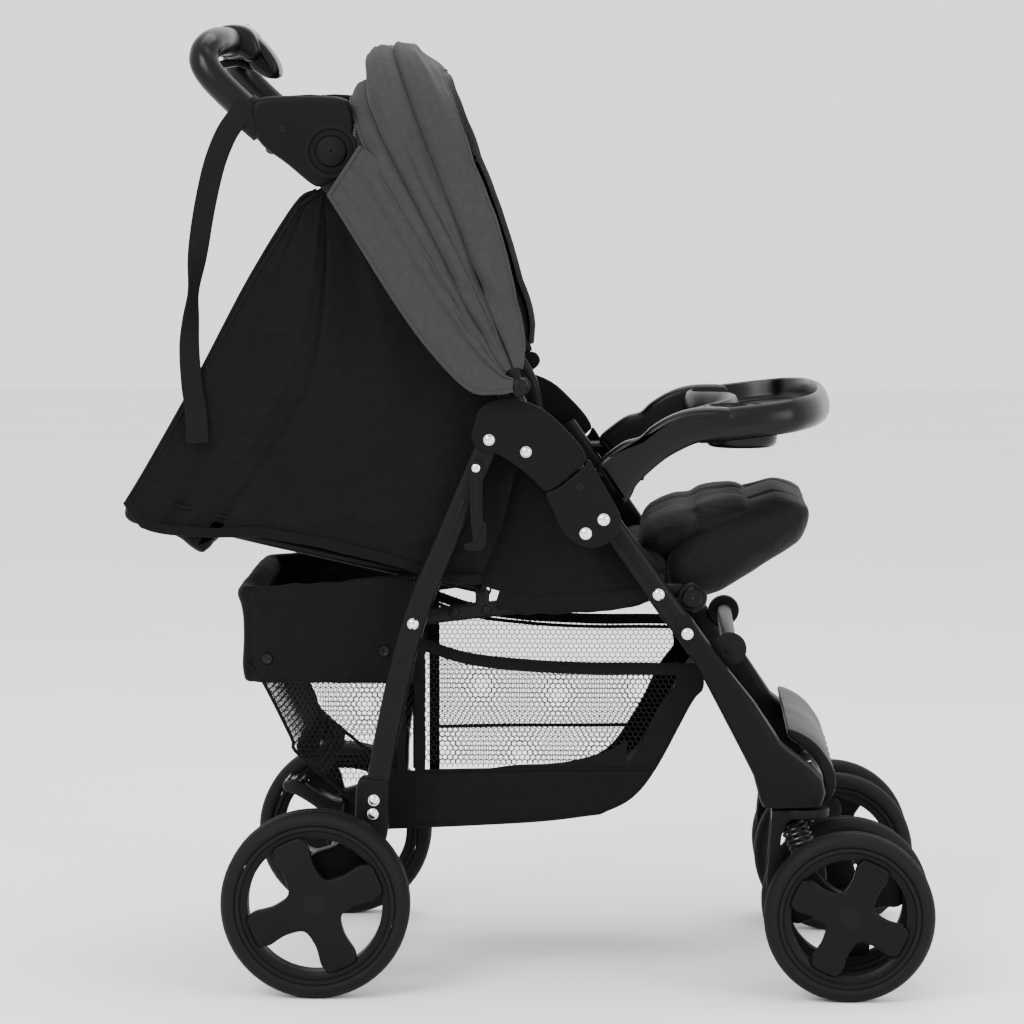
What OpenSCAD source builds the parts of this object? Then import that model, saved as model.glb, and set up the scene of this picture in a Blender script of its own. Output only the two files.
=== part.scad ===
/* [Wheels] */
// Outer radius of each rear wheel
rear_wheel_r = 95; // [85:1:105]
// Width of each rear tyre
rear_wheel_w = 38; // [30:1:38]
// Outer radius of each front wheel
front_wheel_r = 85.5; // [75:0.5:90]
// Width of each front tyre
front_wheel_w = 32; // [24:1:32]
// Radius of the rear axle pins
axle_r = 5; // [4:0.5:6]

/* [Frame] */
// Half width of the flat-oval frame tubes
tube_half = 11; // [8:0.5:12]
// Radius of the fold pivot pins
pin_r = 4; // [3:0.5:5]
// Radius of the cross tubes
cross_r = 8; // [6:0.5:9]
// Half width of the seat between its rails
seat_half = 148; // [120:1:148]

/* [Handle] */
// Radius of the handlebar tube
bar_r = 14; // [12:0.5:16]
// Radius of the parent cup holders
parent_cup_r = 34; // [30:1:35]

/* [Canopy] */
// Reach of the front canopy bow from its pivot
bow_reach = 366; // [360:1:380]
// Width of a canopy bow strip
bow_w = 12; // [8:1:14]
// Corner radius of the canopy bows
bow_corner = 100; // [70:5:110]

/* [Child tray] */
// Radius of the child cup holder
child_cup_r = 33; // [28:1:33]

/* [View] */
// Sub-part to draw

/* [Hidden] */
$fn = 64;
gap = 0.05;
fold = [1.4, 547.5];
leg_top = [-35.5, 559.4];
canopy_pin = [-5, 613];
rear_hub = [-209, rear_wheel_r];
front_hub = [325, front_wheel_r];
caster_x = 280;
caster_y = 195;
swing_pin = [254, 114];
recline_pin = [-44, 403];
rest_pin = [168, 397];
latch_pin = [-48.5, 531.4];
pedal_pin = [-215, 128];
rear_y = 216 + rear_wheel_w / 2;
front_in_y = 163 - front_wheel_w / 2;
front_out_y = 227 + front_wheel_w / 2;

// Copies the left-hand shape to both sides
module pair() {
  children();
  mirror([0, 1, 0]) children();
}

// Moves a left-hand shape to the right when side is -1
module on_side(side) {
  if (side > 0) children();
  else mirror([0, 1, 0]) children();
}

// Extrudes a side-view outline between two widths
module across(y0, y1) {
  translate([0, y1, 0]) rotate([90, 0, 0]) linear_extrude(height = y1 - y0) children();
}

// Round-ended bar between two points of the side view
module slot(a, b, r) {
  d = b - a;
  translate(a) circle(r);
  translate(b) circle(r);
  translate(a) rotate(atan2(d[1], d[0])) translate([0, 0.3 - r]) square([norm(d), 2 * r - 0.6]);
}

// Round rod between two points in space
module rod(a, b, r) {
  d = b - a;
  translate(a) rotate([0, acos(d[2] / norm(d)), atan2(d[1], d[0])]) cylinder(r = r, h = norm(d));
}

// Round pin across the stroller at a side-view point
module cross_pin(p, y0, y1, r) {
  translate([p[0], y1, p[1]]) rotate([90, 0, 0]) cylinder(r = r, h = y1 - y0);
}

module front_leg_tubes() {
  color("black") pair() difference() {
    across(170, 188) {
      slot([32, 547], [163, 363], tube_half);
      slot([163, 363], [203, 306], tube_half);
    }
    cross_pin([134, 402], 160, 190, pin_r);
  }
}

module front_leg_shells() {
  color("dimgray") pair() difference() {
    union() {
      across(167, 191) polygon([[156, 380], [164, 382], [172, 368], [205, 326], [238, 286],
        [252, 262], [200, 262], [189, 300], [172, 332], [151, 363]]);
      across(168, 221) polygon([[238, 286], [258, 252], [273, 240], [284, 230], [298, 215],
        [301, 201], [296, 190], [240, 189], [236, 192], [228, 222], [208, 262], [220, 280]]);
    }
    across(169.9, 188.1) {
      slot([134, 402], [163, 363], tube_half);
      slot([163, 363], [203, 306], tube_half);
    }
    translate([caster_x, caster_y, 180]) cylinder(r = 6 + gap, h = 44);
  }
}

module front_cross_tube() {
  color("black") rod([206, -169.8, 345], [206, 169.8, 345], cross_r);
}

module footrest() {
  color("dimgray") across(-167.9, 167.9) polygon([[284, 264], [296, 255], [312, 231], [315, 212],
    [311, 193], [301, 193], [305, 212], [303, 228], [289, 248], [279, 256]]);
}

module side_brackets() {
  color("dimgray") pair() difference() {
    union() {
      across(211, 214) polygon([[-52, 575], [-45, 591], [-28, 601], [-5, 599], [20, 589], [42, 569],
        [65, 545], [85, 505], [97, 480], [93, 465], [83, 456], [67, 450], [50, 455], [38, 468],
        [28, 488], [18, 508], [5, 524], [-13, 537], [-20, 543], [-44, 549], [-53, 559]]);
      across(188.1, 211) slot([61, 466], [79, 480], 14);
      across(188.1, 191) slot([48, 505], [79, 480], 12);
    }
    cross_pin(fold, 205, 220, pin_r);
    cross_pin(leg_top, 205, 220, pin_r);
  }
}

module bracket_pins() {
  color("silver") pair() {
    cross_pin(fold, 190.5, 214, pin_r);
    cross_pin(fold, 214, 216.4, 6.5);
    cross_pin(leg_top, 190.5, 214, pin_r);
    cross_pin(leg_top, 214, 216.4, 6.5);
    cross_pin([61, 466], 214, 216.4, 6);
    cross_pin([79, 480], 214, 216.4, 6);
    cross_pin([134, 402], 166, 188, pin_r);
    cross_pin([134, 402], 188, 190.5, 6);
  }
}

module seat_rails() {
  color("black") pair() {
    across(150, 166) {
      slot([-112, 374], [-40, 383], cross_r);
      slot([-40, 383], [134, 402], cross_r);
      slot([134, 402], [168, 397], cross_r);
      slot([-44, 386], recline_pin, cross_r);
    }
    cross_pin(recline_pin, 142, 150, pin_r);
    cross_pin(rest_pin, 130, 150, 5);
    cross_pin(rest_pin, 166, 169.5, 15);
    rod([50, 180, 522], [118, 180, 522], 6);
  }
}

module seat_board() {
  color("black") across(-149.5, 149.5) polygon([[-30, 384], [128, 399], [128, 391], [-30, 376]]);
}

module seat_cushion() {
  color("black") across(-seat_half, seat_half) polygon([[-28, 384.5], [128, 399.3], [127, 425],
    [118, 431], [60, 434], [0, 428], [-26, 412]]);
}

module seat_side_cloth() {
  color("black") pair() across(167, 169.5) polygon([[-75, 420], [-26, 396], [16, 384], [110, 400],
    [95, 440], [60, 480], [36, 515], [10, 560], [-20, 600], [-60, 580], [-70, 500]]);
}

module lap_harness() {
  color("black") {
    pair() translate([52, 24, 437]) cube([24, 118, 2.5]);
    translate([86, -12, 437]) cube([34, 24, 2.5]);
  }
}

module harness_buckle() {
  color("dimgray") difference() {
    translate([50, -22, 436.5]) cube([35, 44, 16]);
    translate([60, -30, 446]) cube([15, 8 + 4, 20]);
    translate([60, 18, 446]) cube([15, 12, 20]);
  }
}

module basket_body() {
  color("black") difference() {
    across(-162, 162) polygon([[-122, 354], [35, 334], [176, 330], [178, 305], [166, 289], [131, 223],
      [106, 192], [75, 175], [-127, 160], [-142, 160], [-228, 232], [-238, 252], [-266, 308],
      [-240, 308], [-122, 308]]);
    across(-160, 160) polygon([[-120, 360], [35, 340], [174, 340], [176, 305], [164, 290], [129, 225],
      [104, 194], [75, 177], [-127, 162], [-141, 162], [-226, 233], [-236, 253], [-262, 320],
      [-120, 320]]);
  }
}

module basket_pocket() {
  color("black") difference() {
    across(-163, 163) polygon([[-285, 374], [-284, 394], [-266, 404], [-248, 405], [-123, 400],
      [-123, 320], [-268, 308.2], [-280, 323]]);
    across(-158, 158) polygon([[-280, 374], [-279, 410], [-128, 410], [-128, 300], [-262, 300],
      [-275, 325]]);
  }
}

module push_tubes() {
  color("black") pair() difference() {
    across(191.5, 210) {
      slot(fold, [-13, 600], tube_half);
      slot([-13, 600], [-205, 830], tube_half);
    }
    cross_pin(fold, 180, 220, pin_r + gap);
  }
}

module handlebar() {
  color("dimgray") {
    pair() {
      rod([-212, 192, 838], [-262, 192, 874], bar_r);
      rod([-262, 192, 874], [-300, 192, 910], bar_r);
      rod([-300, 192, 910], [-319, 189, 936], bar_r);
      rod([-319, 189, 936], [-310, 172, 955], bar_r);
      translate([-262, 192, 874]) sphere(r = bar_r + 1);
      translate([-300, 192, 910]) sphere(r = bar_r + 1);
      translate([-319, 189, 936]) sphere(r = bar_r + 1);
      translate([-310, 172, 955]) sphere(r = bar_r + 1);
    }
    rod([-310, -172, 955], [-310, 172, 955], bar_r);
  }
}

module parent_tray() {
  color("dimgray") difference() {
    union() {
      pair() across(176, 213) polygon([[-273, 892], [-261, 900], [-178, 900], [-173, 882], [-171, 857],
        [-178, 832], [-193, 815], [-211, 813], [-261, 852], [-276, 877]]);
      across(-176, 176) polygon([[-268, 896], [-178, 896], [-175, 884], [-178, 868], [-268, 868]]);
      pair() translate([-227, 110, 834]) cylinder(r = parent_cup_r + 4, h = 66);
      pair() cross_pin([-196, 838], 213, 217, 16);
    }
    pair() translate([-227, 110, 838]) cylinder(r = parent_cup_r, h = 80);
    translate([-258, -50, 872]) cube([70, 100, 40]);
  }
}

module fold_housing() {
  color("dimgray") difference() {
    translate([-330, -42, 933]) cube([40, 84, 40]);
    rod([-310, -60, 955], [-310, 60, 955], bar_r);
    translate([-320, -16, 969]) cube([20, 40, 10]);
    translate([-328, -24, 921]) cube([30, 48, 16]);
  }
}

module fold_slide() {
  color("silver") translate([-319.7, -15.7, 969.3]) cube([19.4, 26, 5]);
}

module fold_trigger() {
  color("dimgray") translate([-327, -22, 925]) cube([28, 44, 8]);
}

module canopy_clips() {
  color("dimgray") pair() {
    across(214.5, 218.7) slot(canopy_pin, [-40, 632], 8);
    cross_pin([-40, 632], 210, 214.5, 8);
    cross_pin(canopy_pin, 218.7, 231.7, 5);
    cross_pin(canopy_pin, 231.7, 233, 8);
  }
}

// Upright U outline of a canopy bow
module bow_shape(y, h, rc) {
  translate([-y, -20]) square([2 * y, h - rc + 20]);
  translate([rc - y, 0]) square([2 * (y - rc), h]);
  translate([rc - y, h - rc]) circle(rc);
  translate([y - rc, h - rc]) circle(rc);
}

// Canopy bow: U strip with an eye at each end, leaning by an angle
module bow(y, reach, lean) {
  translate([canopy_pin[0], 0, canopy_pin[1]]) rotate([0, lean, 0]) difference() {
    union() {
      translate([-bow_w / 2, 0, 0]) rotate([90, 0, 90]) linear_extrude(height = bow_w) difference() {
        bow_shape(y, reach, bow_corner);
        bow_shape(y - 3.5, reach - 3.5, bow_corner - 3.5);
        translate([-300, -30]) square([600, 34]);
      }
      pair() across(y - 3.5, y) circle(9);
    }
    pair() cross_pin([0, 0], y - 10, y + 10, 5 + gap);
  }
}

module canopy_rear_bow() {
  color("gray") bow(222.5, bow_reach - 22, -28);
}

module canopy_mid_bow() {
  color("gray") bow(227, bow_reach - 10, -23.5);
}

module canopy_front_bow() {
  color("gray") bow(231.5, bow_reach, -18.5);
}

// Cloth swept about the canopy pivot between two lean angles
module cloth_wedge(a0, a1, reach, low) {
  translate([canopy_pin[0], 0, canopy_pin[1]]) rotate([0, a0, 0]) rotate([90, 0, 0])
    rotate([0, 0, 90 - (a1 - a0)]) rotate_extrude(angle = a1 - a0, $fn = 96) cloth_profile(reach, low);
}

// Half section of the cloth: reach along X, width along Y
module cloth_profile(reach, low) {
  difference() {
    union() {
      translate([low, -236]) square([reach - low - bow_corner, 472]);
      translate([reach - bow_corner - 1, bow_corner - 236]) square([bow_corner + 1, 472 - 2 * bow_corner]);
      translate([reach - bow_corner, 236 - bow_corner]) circle(bow_corner);
      translate([reach - bow_corner, bow_corner - 236]) circle(bow_corner);
    }
    translate([0, -234]) square([reach - bow_corner, 468]);
    translate([0, bow_corner - 236]) square([reach - 2, 472 - 2 * bow_corner]);
    translate([reach - bow_corner, 236 - bow_corner]) circle(bow_corner - 2);
    translate([reach - bow_corner, bow_corner - 236]) circle(bow_corner - 2);
  }
}

module canopy_rear_cloth() {
  color("gray") {
    cloth_wedge(-29.5, -23.9, bow_reach + 4, 60);
    pair() across(234, 236) polygon([[-30, 622], [-94, 654], [-129, 703], [-192, 803], [-187, 827],
      [-160, 850], [-60, 700]]);
  }
}

module canopy_front_cloth() {
  color("gray") cloth_wedge(-23.3, -18.9, bow_reach + 4, 60);
}

module canopy_peak() {
  color("gray") cloth_wedge(-18.3, -15.2, bow_reach + 4, 60);
}

module cabin_cloth() {
  color("black") {
    pair() across(183, 188.5) polygon([[-215, 800], [-276, 717], [-401, 497], [-384, 470], [-312, 468],
      [-197, 450], [-121, 430], [-86, 415], [-60, 425], [-52, 520], [-40, 590], [-190, 785]]);
    across(-188.5, 188.5) polygon([[-215, 806], [-276, 717], [-404, 497], [-398, 494], [-270, 712],
      [-208, 802]]);
  }
}

module wrist_strap() {
  color("black") across(-209, -207) polygon([[-296, 896], [-270, 902], [-280, 878], [-306, 832],
    [-320, 760], [-325, 690], [-324, 620], [-320, 553], [-340, 553], [-345, 620], [-346, 690],
    [-341, 760], [-326, 832]]);
}

module rear_leg_tubes() {
  color("black") pair() difference() {
    across(192, 210) {
      slot(leg_top, [-75, 466], tube_half);
      slot([-75, 466], [-112, 374], tube_half);
      slot([-112, 374], [-138, 265], tube_half);
      slot([-138, 265], [-154, 172], tube_half);
    }
    cross_pin(leg_top, 180, 220, pin_r + gap);
    cross_pin([-112, 374], 180, 220, pin_r);
  }
}

module rear_axle() {
  color("black") {
    rod([rear_hub[0], -186, rear_hub[1]], [rear_hub[0], 186, rear_hub[1]], cross_r);
    pair() cross_pin(rear_hub, 186, 245.7, axle_r);
  }
}

module rear_housings() {
  color("dimgray") pair() {
    difference() {
      across(186, 212.5) polygon([[-170, 206], [-138, 206], [-140, 150], [-176, 92], [-204, 76],
        [-226, 82], [-230, 104], [-222, 138], [-196, 146]]);
      across(191.9, 210.1) slot([-138, 265], [-154, 172], tube_half);
      cross_pin(rear_hub, 180, 220, axle_r);
    }
    cross_pin(pedal_pin, 150, 186, pin_r);
    cross_pin([-112, 374], 167, 210, pin_r);
    cross_pin([-112, 374], 210, 212.4, 6);
    cross_pin([-151.5, 196], 212.5, 214.5, 6);
    cross_pin([-152.6, 180], 212.5, 214.5, 6);
    cross_pin(latch_pin, 210, 218.6, 3);
  }
}

module storage_latch() {
  color("dimgray") mirror([0, 1, 0]) difference() {
    across(214.7, 217.6) {
      slot(latch_pin, [-46, 460], 7);
      slot([-46, 460], [-56, 452], 6);
    }
    cross_pin(latch_pin, 205, 225, 3 + gap);
  }
}

module brake_pedal(side) {
  color("dimgray") on_side(side) difference() {
    across(152, 185) slot(pedal_pin, [-262, 151], 8);
    cross_pin(pedal_pin, 145, 190, pin_r + gap);
  }
}

module brake_pedal_right() {
  brake_pedal(-1);
}

module brake_pedal_left() {
  brake_pedal(1);
}

// Wheel rim about its own axle, closed face outward (+Y)
module rim(r, w, hub_r, bore_r) {
  difference() {
    union() {
      difference() {
        rotate([90, 0, 0]) cylinder(r = r, h = w - 8, center = true);
        rotate([90, 0, 0]) cylinder(r = r - 12, h = w, center = true);
      }
      rotate([90, 0, 0]) cylinder(r = hub_r, h = w, center = true);
      for (k = [0 : 3]) {
        rotate([0, 45 + 90 * k, 0]) translate([0, w / 2 - 16, -hub_r * 0.8]) cube([r - 6, 10, hub_r * 1.6]);
      }
    }
    translate([0, w / 2 - 8, 0]) rotate([90, 0, 0]) cylinder(r = bore_r, h = w + 10);
  }
}

// Tyre about its own axle
module tyre(r, w, inner) {
  rotate([90, 0, 0]) rotate_extrude($fn = 96) polygon([[inner, -w / 2 + 4], [inner + 3, -w / 2],
    [r - 5, -w / 2], [r, -w / 2 + 8], [r, w / 2 - 8], [r - 5, w / 2], [inner + 3, w / 2],
    [inner, w / 2 - 4]]);
}

module rear_rim(side) {
  color("dimgray") on_side(side) translate([rear_hub[0], rear_y, rear_hub[1]])
    rim(rear_wheel_r - 15, rear_wheel_w, 22, axle_r + gap);
}

module rear_tyre(side) {
  color("black") on_side(side) translate([rear_hub[0], rear_y, rear_hub[1]])
    tyre(rear_wheel_r, rear_wheel_w, rear_wheel_r - 15);
}

module front_rim(side, y, face) {
  color("dimgray") on_side(side) translate([front_hub[0], y, front_hub[1]]) on_side(face)
    rim(front_wheel_r - 14.5, front_wheel_w, 20, pin_r + gap);
}

module front_tyre(side, y) {
  color("black") on_side(side) translate([front_hub[0], y, front_hub[1]])
    tyre(front_wheel_r, front_wheel_w, front_wheel_r - 14.5);
}

module rear_rim_right() {
  rear_rim(-1);
}

module rear_tyre_right() {
  rear_tyre(-1);
}

module rear_rim_left() {
  rear_rim(1);
}

module rear_tyre_left() {
  rear_tyre(1);
}

module front_rim_right_out() {
  front_rim(-1, front_out_y, 1);
}

module front_tyre_right_out() {
  front_tyre(-1, front_out_y);
}

module front_rim_right_in() {
  front_rim(-1, front_in_y, -1);
}

module front_tyre_right_in() {
  front_tyre(-1, front_in_y);
}

module front_rim_left_out() {
  front_rim(1, front_out_y, 1);
}

module front_tyre_left_out() {
  front_tyre(1, front_out_y);
}

module front_rim_left_in() {
  front_rim(1, front_in_y, -1);
}

module front_tyre_left_in() {
  front_tyre(1, front_in_y);
}

// Swivel head: stem, cap and two cheeks that carry the swing arm
module caster_head(side) {
  color("dimgray") on_side(side) difference() {
    union() {
      translate([caster_x, caster_y, 178]) cylinder(r = 25, h = 10);
      translate([caster_x, caster_y, 178]) cylinder(r = 6, h = 44);
      across(174, 180) cheek();
      across(210, 216) cheek();
      across(180, 210) polygon([[246, 188], [262, 188], [262, 178], [250, 172], [246, 172]]);
    }
    cross_pin(swing_pin, 170, 220, pin_r + gap);
  }
}

// Side outline of a caster cheek
module cheek() {
  polygon([[244, 188], [290, 188], [290, 178], [268, 150], [266, 104], [242, 104]]);
}

// Sprung arm with its pivot pin and the wheel axle
module caster_arm(side) {
  color("dimgray") on_side(side) {
    across(180.3, 209.7) {
      slot(swing_pin, front_hub, 10);
      slot([268, 116], [285, 127], 8);
    }
    cross_pin(swing_pin, 172, 218, pin_r);
    cross_pin(front_hub, 209, 250, pin_r);
    cross_pin(front_hub, 140, 181, pin_r);
  }
}

module caster_head_right() {
  caster_head(-1);
}

module caster_head_left() {
  caster_head(1);
}

module caster_arm_right() {
  caster_arm(-1);
}

module caster_arm_left() {
  caster_arm(1);
}

// Corrugated sleeve in place of the wire coil
module caster_spring(side) {
  color("gray") on_side(side) translate([282, caster_y, 140.5]) rotate([0, -30, 0])
    rotate_extrude() polygon([[7, 0], [10, 0], [11, 4], [9, 8], [11, 12], [9, 16], [11, 20], [9, 24],
      [11, 28], [10, 33], [7, 33], [6, 28], [7, 24], [6, 20], [7, 16], [6, 12], [7, 8], [6, 4]]);
}

module caster_spring_right() {
  caster_spring(-1);
}

module caster_spring_left() {
  caster_spring(1);
}

module backrest_frame() {
  color("black") difference() {
    union() {
      pair() cross_pin(recline_pin, 142, 149.7, 9);
      pair() rod([-44, 143, 403], [-300, 143, 460], 6);
      rod([-300, -143, 460], [-300, 143, 460], 6);
      pair() translate([-300, 143, 460]) sphere(r = 7);
    }
    pair() cross_pin(recline_pin, 130, 160, pin_r + gap);
  }
}

module backrest_cushion() {
  color("black") across(-136, 136) polygon([[-70, 416], [-290, 464], [-300, 480], [-296, 492],
    [-280, 494], [-90, 451], [-76, 440]]);
}

module backrest_skirt() {
  color("black") {
    pair() across(152, 181) polygon([[-300, 453], [-312, 466], [-326, 442], [-340, 449], [-363, 464],
      [-384, 468], [-402, 472], [-408, 480], [-403, 492], [-390, 492], [-305, 474]]);
    across(-152, 152) polygon([[-384, 468], [-402, 472], [-408, 480], [-403, 492], [-390, 492],
      [-310, 476], [-314, 468]]);
  }
}

module shoulder_straps() {
  color("black") pair() across(45, 72) polygon([[-96, 454], [-278, 496], [-278, 499], [-96, 457]]);
}

module legrest_board() {
  color("black") difference() {
    across(-149, 149) slot(rest_pin, [283, 457], 8);
    pair() cross_pin(rest_pin, 128, 152, 5 + gap);
  }
}

module legrest_pad() {
  color("black") across(-150, 150) polygon([[170, 407.5], [284, 466.7], [295, 470], [299, 480],
    [291, 496], [277, 503], [237, 507], [176, 494], [134, 472], [138, 446]]);
}

module child_tray() {
  color("dimgray") {
    difference() {
      union() {
        pair() across(170, 188.5) polygon([[90, 547], [101, 556], [115, 560], [126, 570], [144, 581],
          [162, 586], [200, 584], [200, 562], [183, 556], [169, 554], [146, 541], [134, 524],
          [130, 508], [92, 508]]);
        translate([182, 0, 571]) rotate([0, -9, 0]) linear_extrude(height = 14, center = true)
          tray_plan(0);
        translate([182, 0, 571]) rotate([0, -9, 0]) translate([0, 0, 7])
          linear_extrude(height = 6) difference() {
            tray_plan(0);
            tray_plan(9);
          }
        translate([218, -105, 548]) cylinder(r = child_cup_r + 4, h = 48);
      }
      translate([218, -105, 552]) cylinder(r = child_cup_r, h = 60);
      pair() rod([80, 180, 522], [122, 180, 522], 6 + gap);
    }
  }
}

// Plan outline of the child tray, drawn in by a margin
module tray_plan(inset) {
  translate([inset, inset - 188.5]) square([66 - inset, 377 - 2 * inset]);
  translate([66, inset - 128.5]) square([60 - inset, 257 - 2 * inset]);
  translate([66, 128.5]) circle(60 - inset);
  translate([66, -128.5]) circle(60 - inset);
}

front_leg_tubes();
front_leg_shells();
front_cross_tube();
footrest();
side_brackets();
bracket_pins();
seat_rails();
seat_board();
seat_cushion();
seat_side_cloth();
lap_harness();
harness_buckle();
basket_body();
basket_pocket();
push_tubes();
handlebar();
parent_tray();
fold_housing();
fold_slide();
fold_trigger();
canopy_clips();
canopy_rear_bow();
canopy_mid_bow();
canopy_front_bow();
canopy_rear_cloth();
canopy_front_cloth();
canopy_peak();
cabin_cloth();
wrist_strap();
rear_leg_tubes();
rear_axle();
rear_housings();
storage_latch();
brake_pedal_right();
brake_pedal_left();
rear_rim_right();
rear_tyre_right();
rear_rim_left();
rear_tyre_left();
caster_head_right();
caster_head_left();
caster_arm_right();
caster_arm_left();
caster_spring_right();
caster_spring_left();
front_rim_right_out();
front_tyre_right_out();
front_rim_right_in();
front_tyre_right_in();
front_rim_left_out();
front_tyre_left_out();
front_rim_left_in();
front_tyre_left_in();
backrest_frame();
backrest_cushion();
backrest_skirt();
shoulder_straps();
legrest_board();
legrest_pad();
child_tray();
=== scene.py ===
import bpy
import bmesh
import math
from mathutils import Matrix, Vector, noise


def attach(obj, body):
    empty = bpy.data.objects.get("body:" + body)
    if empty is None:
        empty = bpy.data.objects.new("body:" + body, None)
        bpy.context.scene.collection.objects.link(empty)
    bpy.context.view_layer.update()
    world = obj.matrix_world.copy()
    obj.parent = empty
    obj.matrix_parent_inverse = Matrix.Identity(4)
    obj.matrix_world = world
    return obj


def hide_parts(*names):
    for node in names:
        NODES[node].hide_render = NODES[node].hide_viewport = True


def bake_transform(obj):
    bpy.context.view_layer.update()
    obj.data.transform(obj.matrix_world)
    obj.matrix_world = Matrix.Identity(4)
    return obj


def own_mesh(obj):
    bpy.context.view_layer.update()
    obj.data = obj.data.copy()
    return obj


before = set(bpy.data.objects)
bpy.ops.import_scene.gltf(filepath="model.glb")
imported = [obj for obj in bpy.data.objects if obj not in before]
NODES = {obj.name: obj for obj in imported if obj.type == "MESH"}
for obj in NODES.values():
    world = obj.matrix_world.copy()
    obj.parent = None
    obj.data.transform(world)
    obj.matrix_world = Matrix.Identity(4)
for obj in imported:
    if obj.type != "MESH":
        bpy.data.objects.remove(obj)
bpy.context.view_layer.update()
MM = 0.001
TAU = 2 * math.pi
RIGHT, LEFT = -1, 1


# ---------------------------------------------------------------- materials

def new_mat(name):
    m = bpy.data.materials.new(name)
    m.use_nodes = True
    nt = m.node_tree
    bsdf = nt.nodes["Principled BSDF"]
    return m, nt, bsdf


def node(nt, kind, **inputs):
    n = nt.nodes.new(kind)
    for key, value in inputs.items():
        if key in n.inputs:
            n.inputs[key].default_value = value
        else:
            setattr(n, key, value)
    return n


def noise_tex(nt, scale, detail=4, rough=0.6):
    tc = node(nt, "ShaderNodeTexCoord")
    n = node(nt, "ShaderNodeTexNoise")
    n.inputs["Scale"].default_value = scale
    n.inputs["Detail"].default_value = detail
    n.inputs["Roughness"].default_value = rough
    nt.links.new(tc.outputs["Object"], n.inputs["Vector"])
    return n


def ramp(nt, src, stops):
    r = nt.nodes.new("ShaderNodeValToRGB")
    el = r.color_ramp.elements
    while len(el) < len(stops):
        el.new(0.5)
    for e, (p, c) in zip(el, stops):
        e.position = p
        e.color = c if len(c) == 4 else (*c, 1)
    nt.links.new(src, r.inputs["Fac"])
    return r


def grey(v, tint=0.0):
    return (v, v, v * (1 + tint), 1)


def plastic(name, base, rough, grain=900, bump=0.12, wear=1.6, shine=0.14):
    m, nt, b = new_mat(name)
    b.inputs["Specular IOR Level"].default_value = shine
    n = noise_tex(nt, grain, 3)
    big = noise_tex(nt, 9, 3)
    c = ramp(nt, big.outputs["Fac"], [(0.3, grey(base * 0.85, 0.03)), (0.7, grey(base * 1.15, 0.03))])
    geo = nt.nodes.new("ShaderNodeNewGeometry")
    edge = ramp(nt, geo.outputs["Pointiness"], [(0.52, (0, 0, 0)), (0.6, (1, 1, 1))])
    mix = nt.nodes.new("ShaderNodeMix")
    mix.data_type = "RGBA"
    nt.links.new(edge.outputs["Color"], mix.inputs[0])
    nt.links.new(c.outputs["Color"], mix.inputs[6])
    mix.inputs[7].default_value = grey(base * wear, 0.02)
    nt.links.new(mix.outputs[2], b.inputs["Base Color"])
    r = ramp(nt, big.outputs["Fac"], [(0.3, grey(rough - 0.05)), (0.7, grey(rough + 0.06))])
    nt.links.new(r.outputs["Color"], b.inputs["Roughness"])
    bp = node(nt, "ShaderNodeBump", Strength=bump, Distance=0.0004)
    nt.links.new(n.outputs["Fac"], bp.inputs["Height"])
    nt.links.new(bp.outputs["Normal"], b.inputs["Normal"])
    return m


def metal(name, base, rough, metallic=1.0, scratch=260):
    m, nt, b = new_mat(name)
    n = noise_tex(nt, scratch, 4)
    c = ramp(nt, n.outputs["Fac"], [(0.35, grey(base * 0.86)), (0.65, grey(base))])
    nt.links.new(c.outputs["Color"], b.inputs["Base Color"])
    b.inputs["Metallic"].default_value = metallic
    b.inputs["Specular IOR Level"].default_value = 0.5 if metallic else 0.1
    r = ramp(nt, n.outputs["Fac"], [(0.3, grey(rough)), (0.7, grey(rough + 0.1))])
    nt.links.new(r.outputs["Color"], b.inputs["Roughness"])
    bp = node(nt, "ShaderNodeBump", Strength=0.05, Distance=0.0003)
    nt.links.new(n.outputs["Fac"], bp.inputs["Height"])
    nt.links.new(bp.outputs["Normal"], b.inputs["Normal"])
    return m


def waves(nt, axis, scale, vector):
    w = nt.nodes.new("ShaderNodeTexWave")
    w.wave_type = "BANDS"
    w.bands_direction = axis
    w.inputs["Scale"].default_value = scale
    w.inputs["Distortion"].default_value = 0.6
    w.inputs["Detail"].default_value = 1
    nt.links.new(vector, w.inputs["Vector"])
    return w


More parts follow.
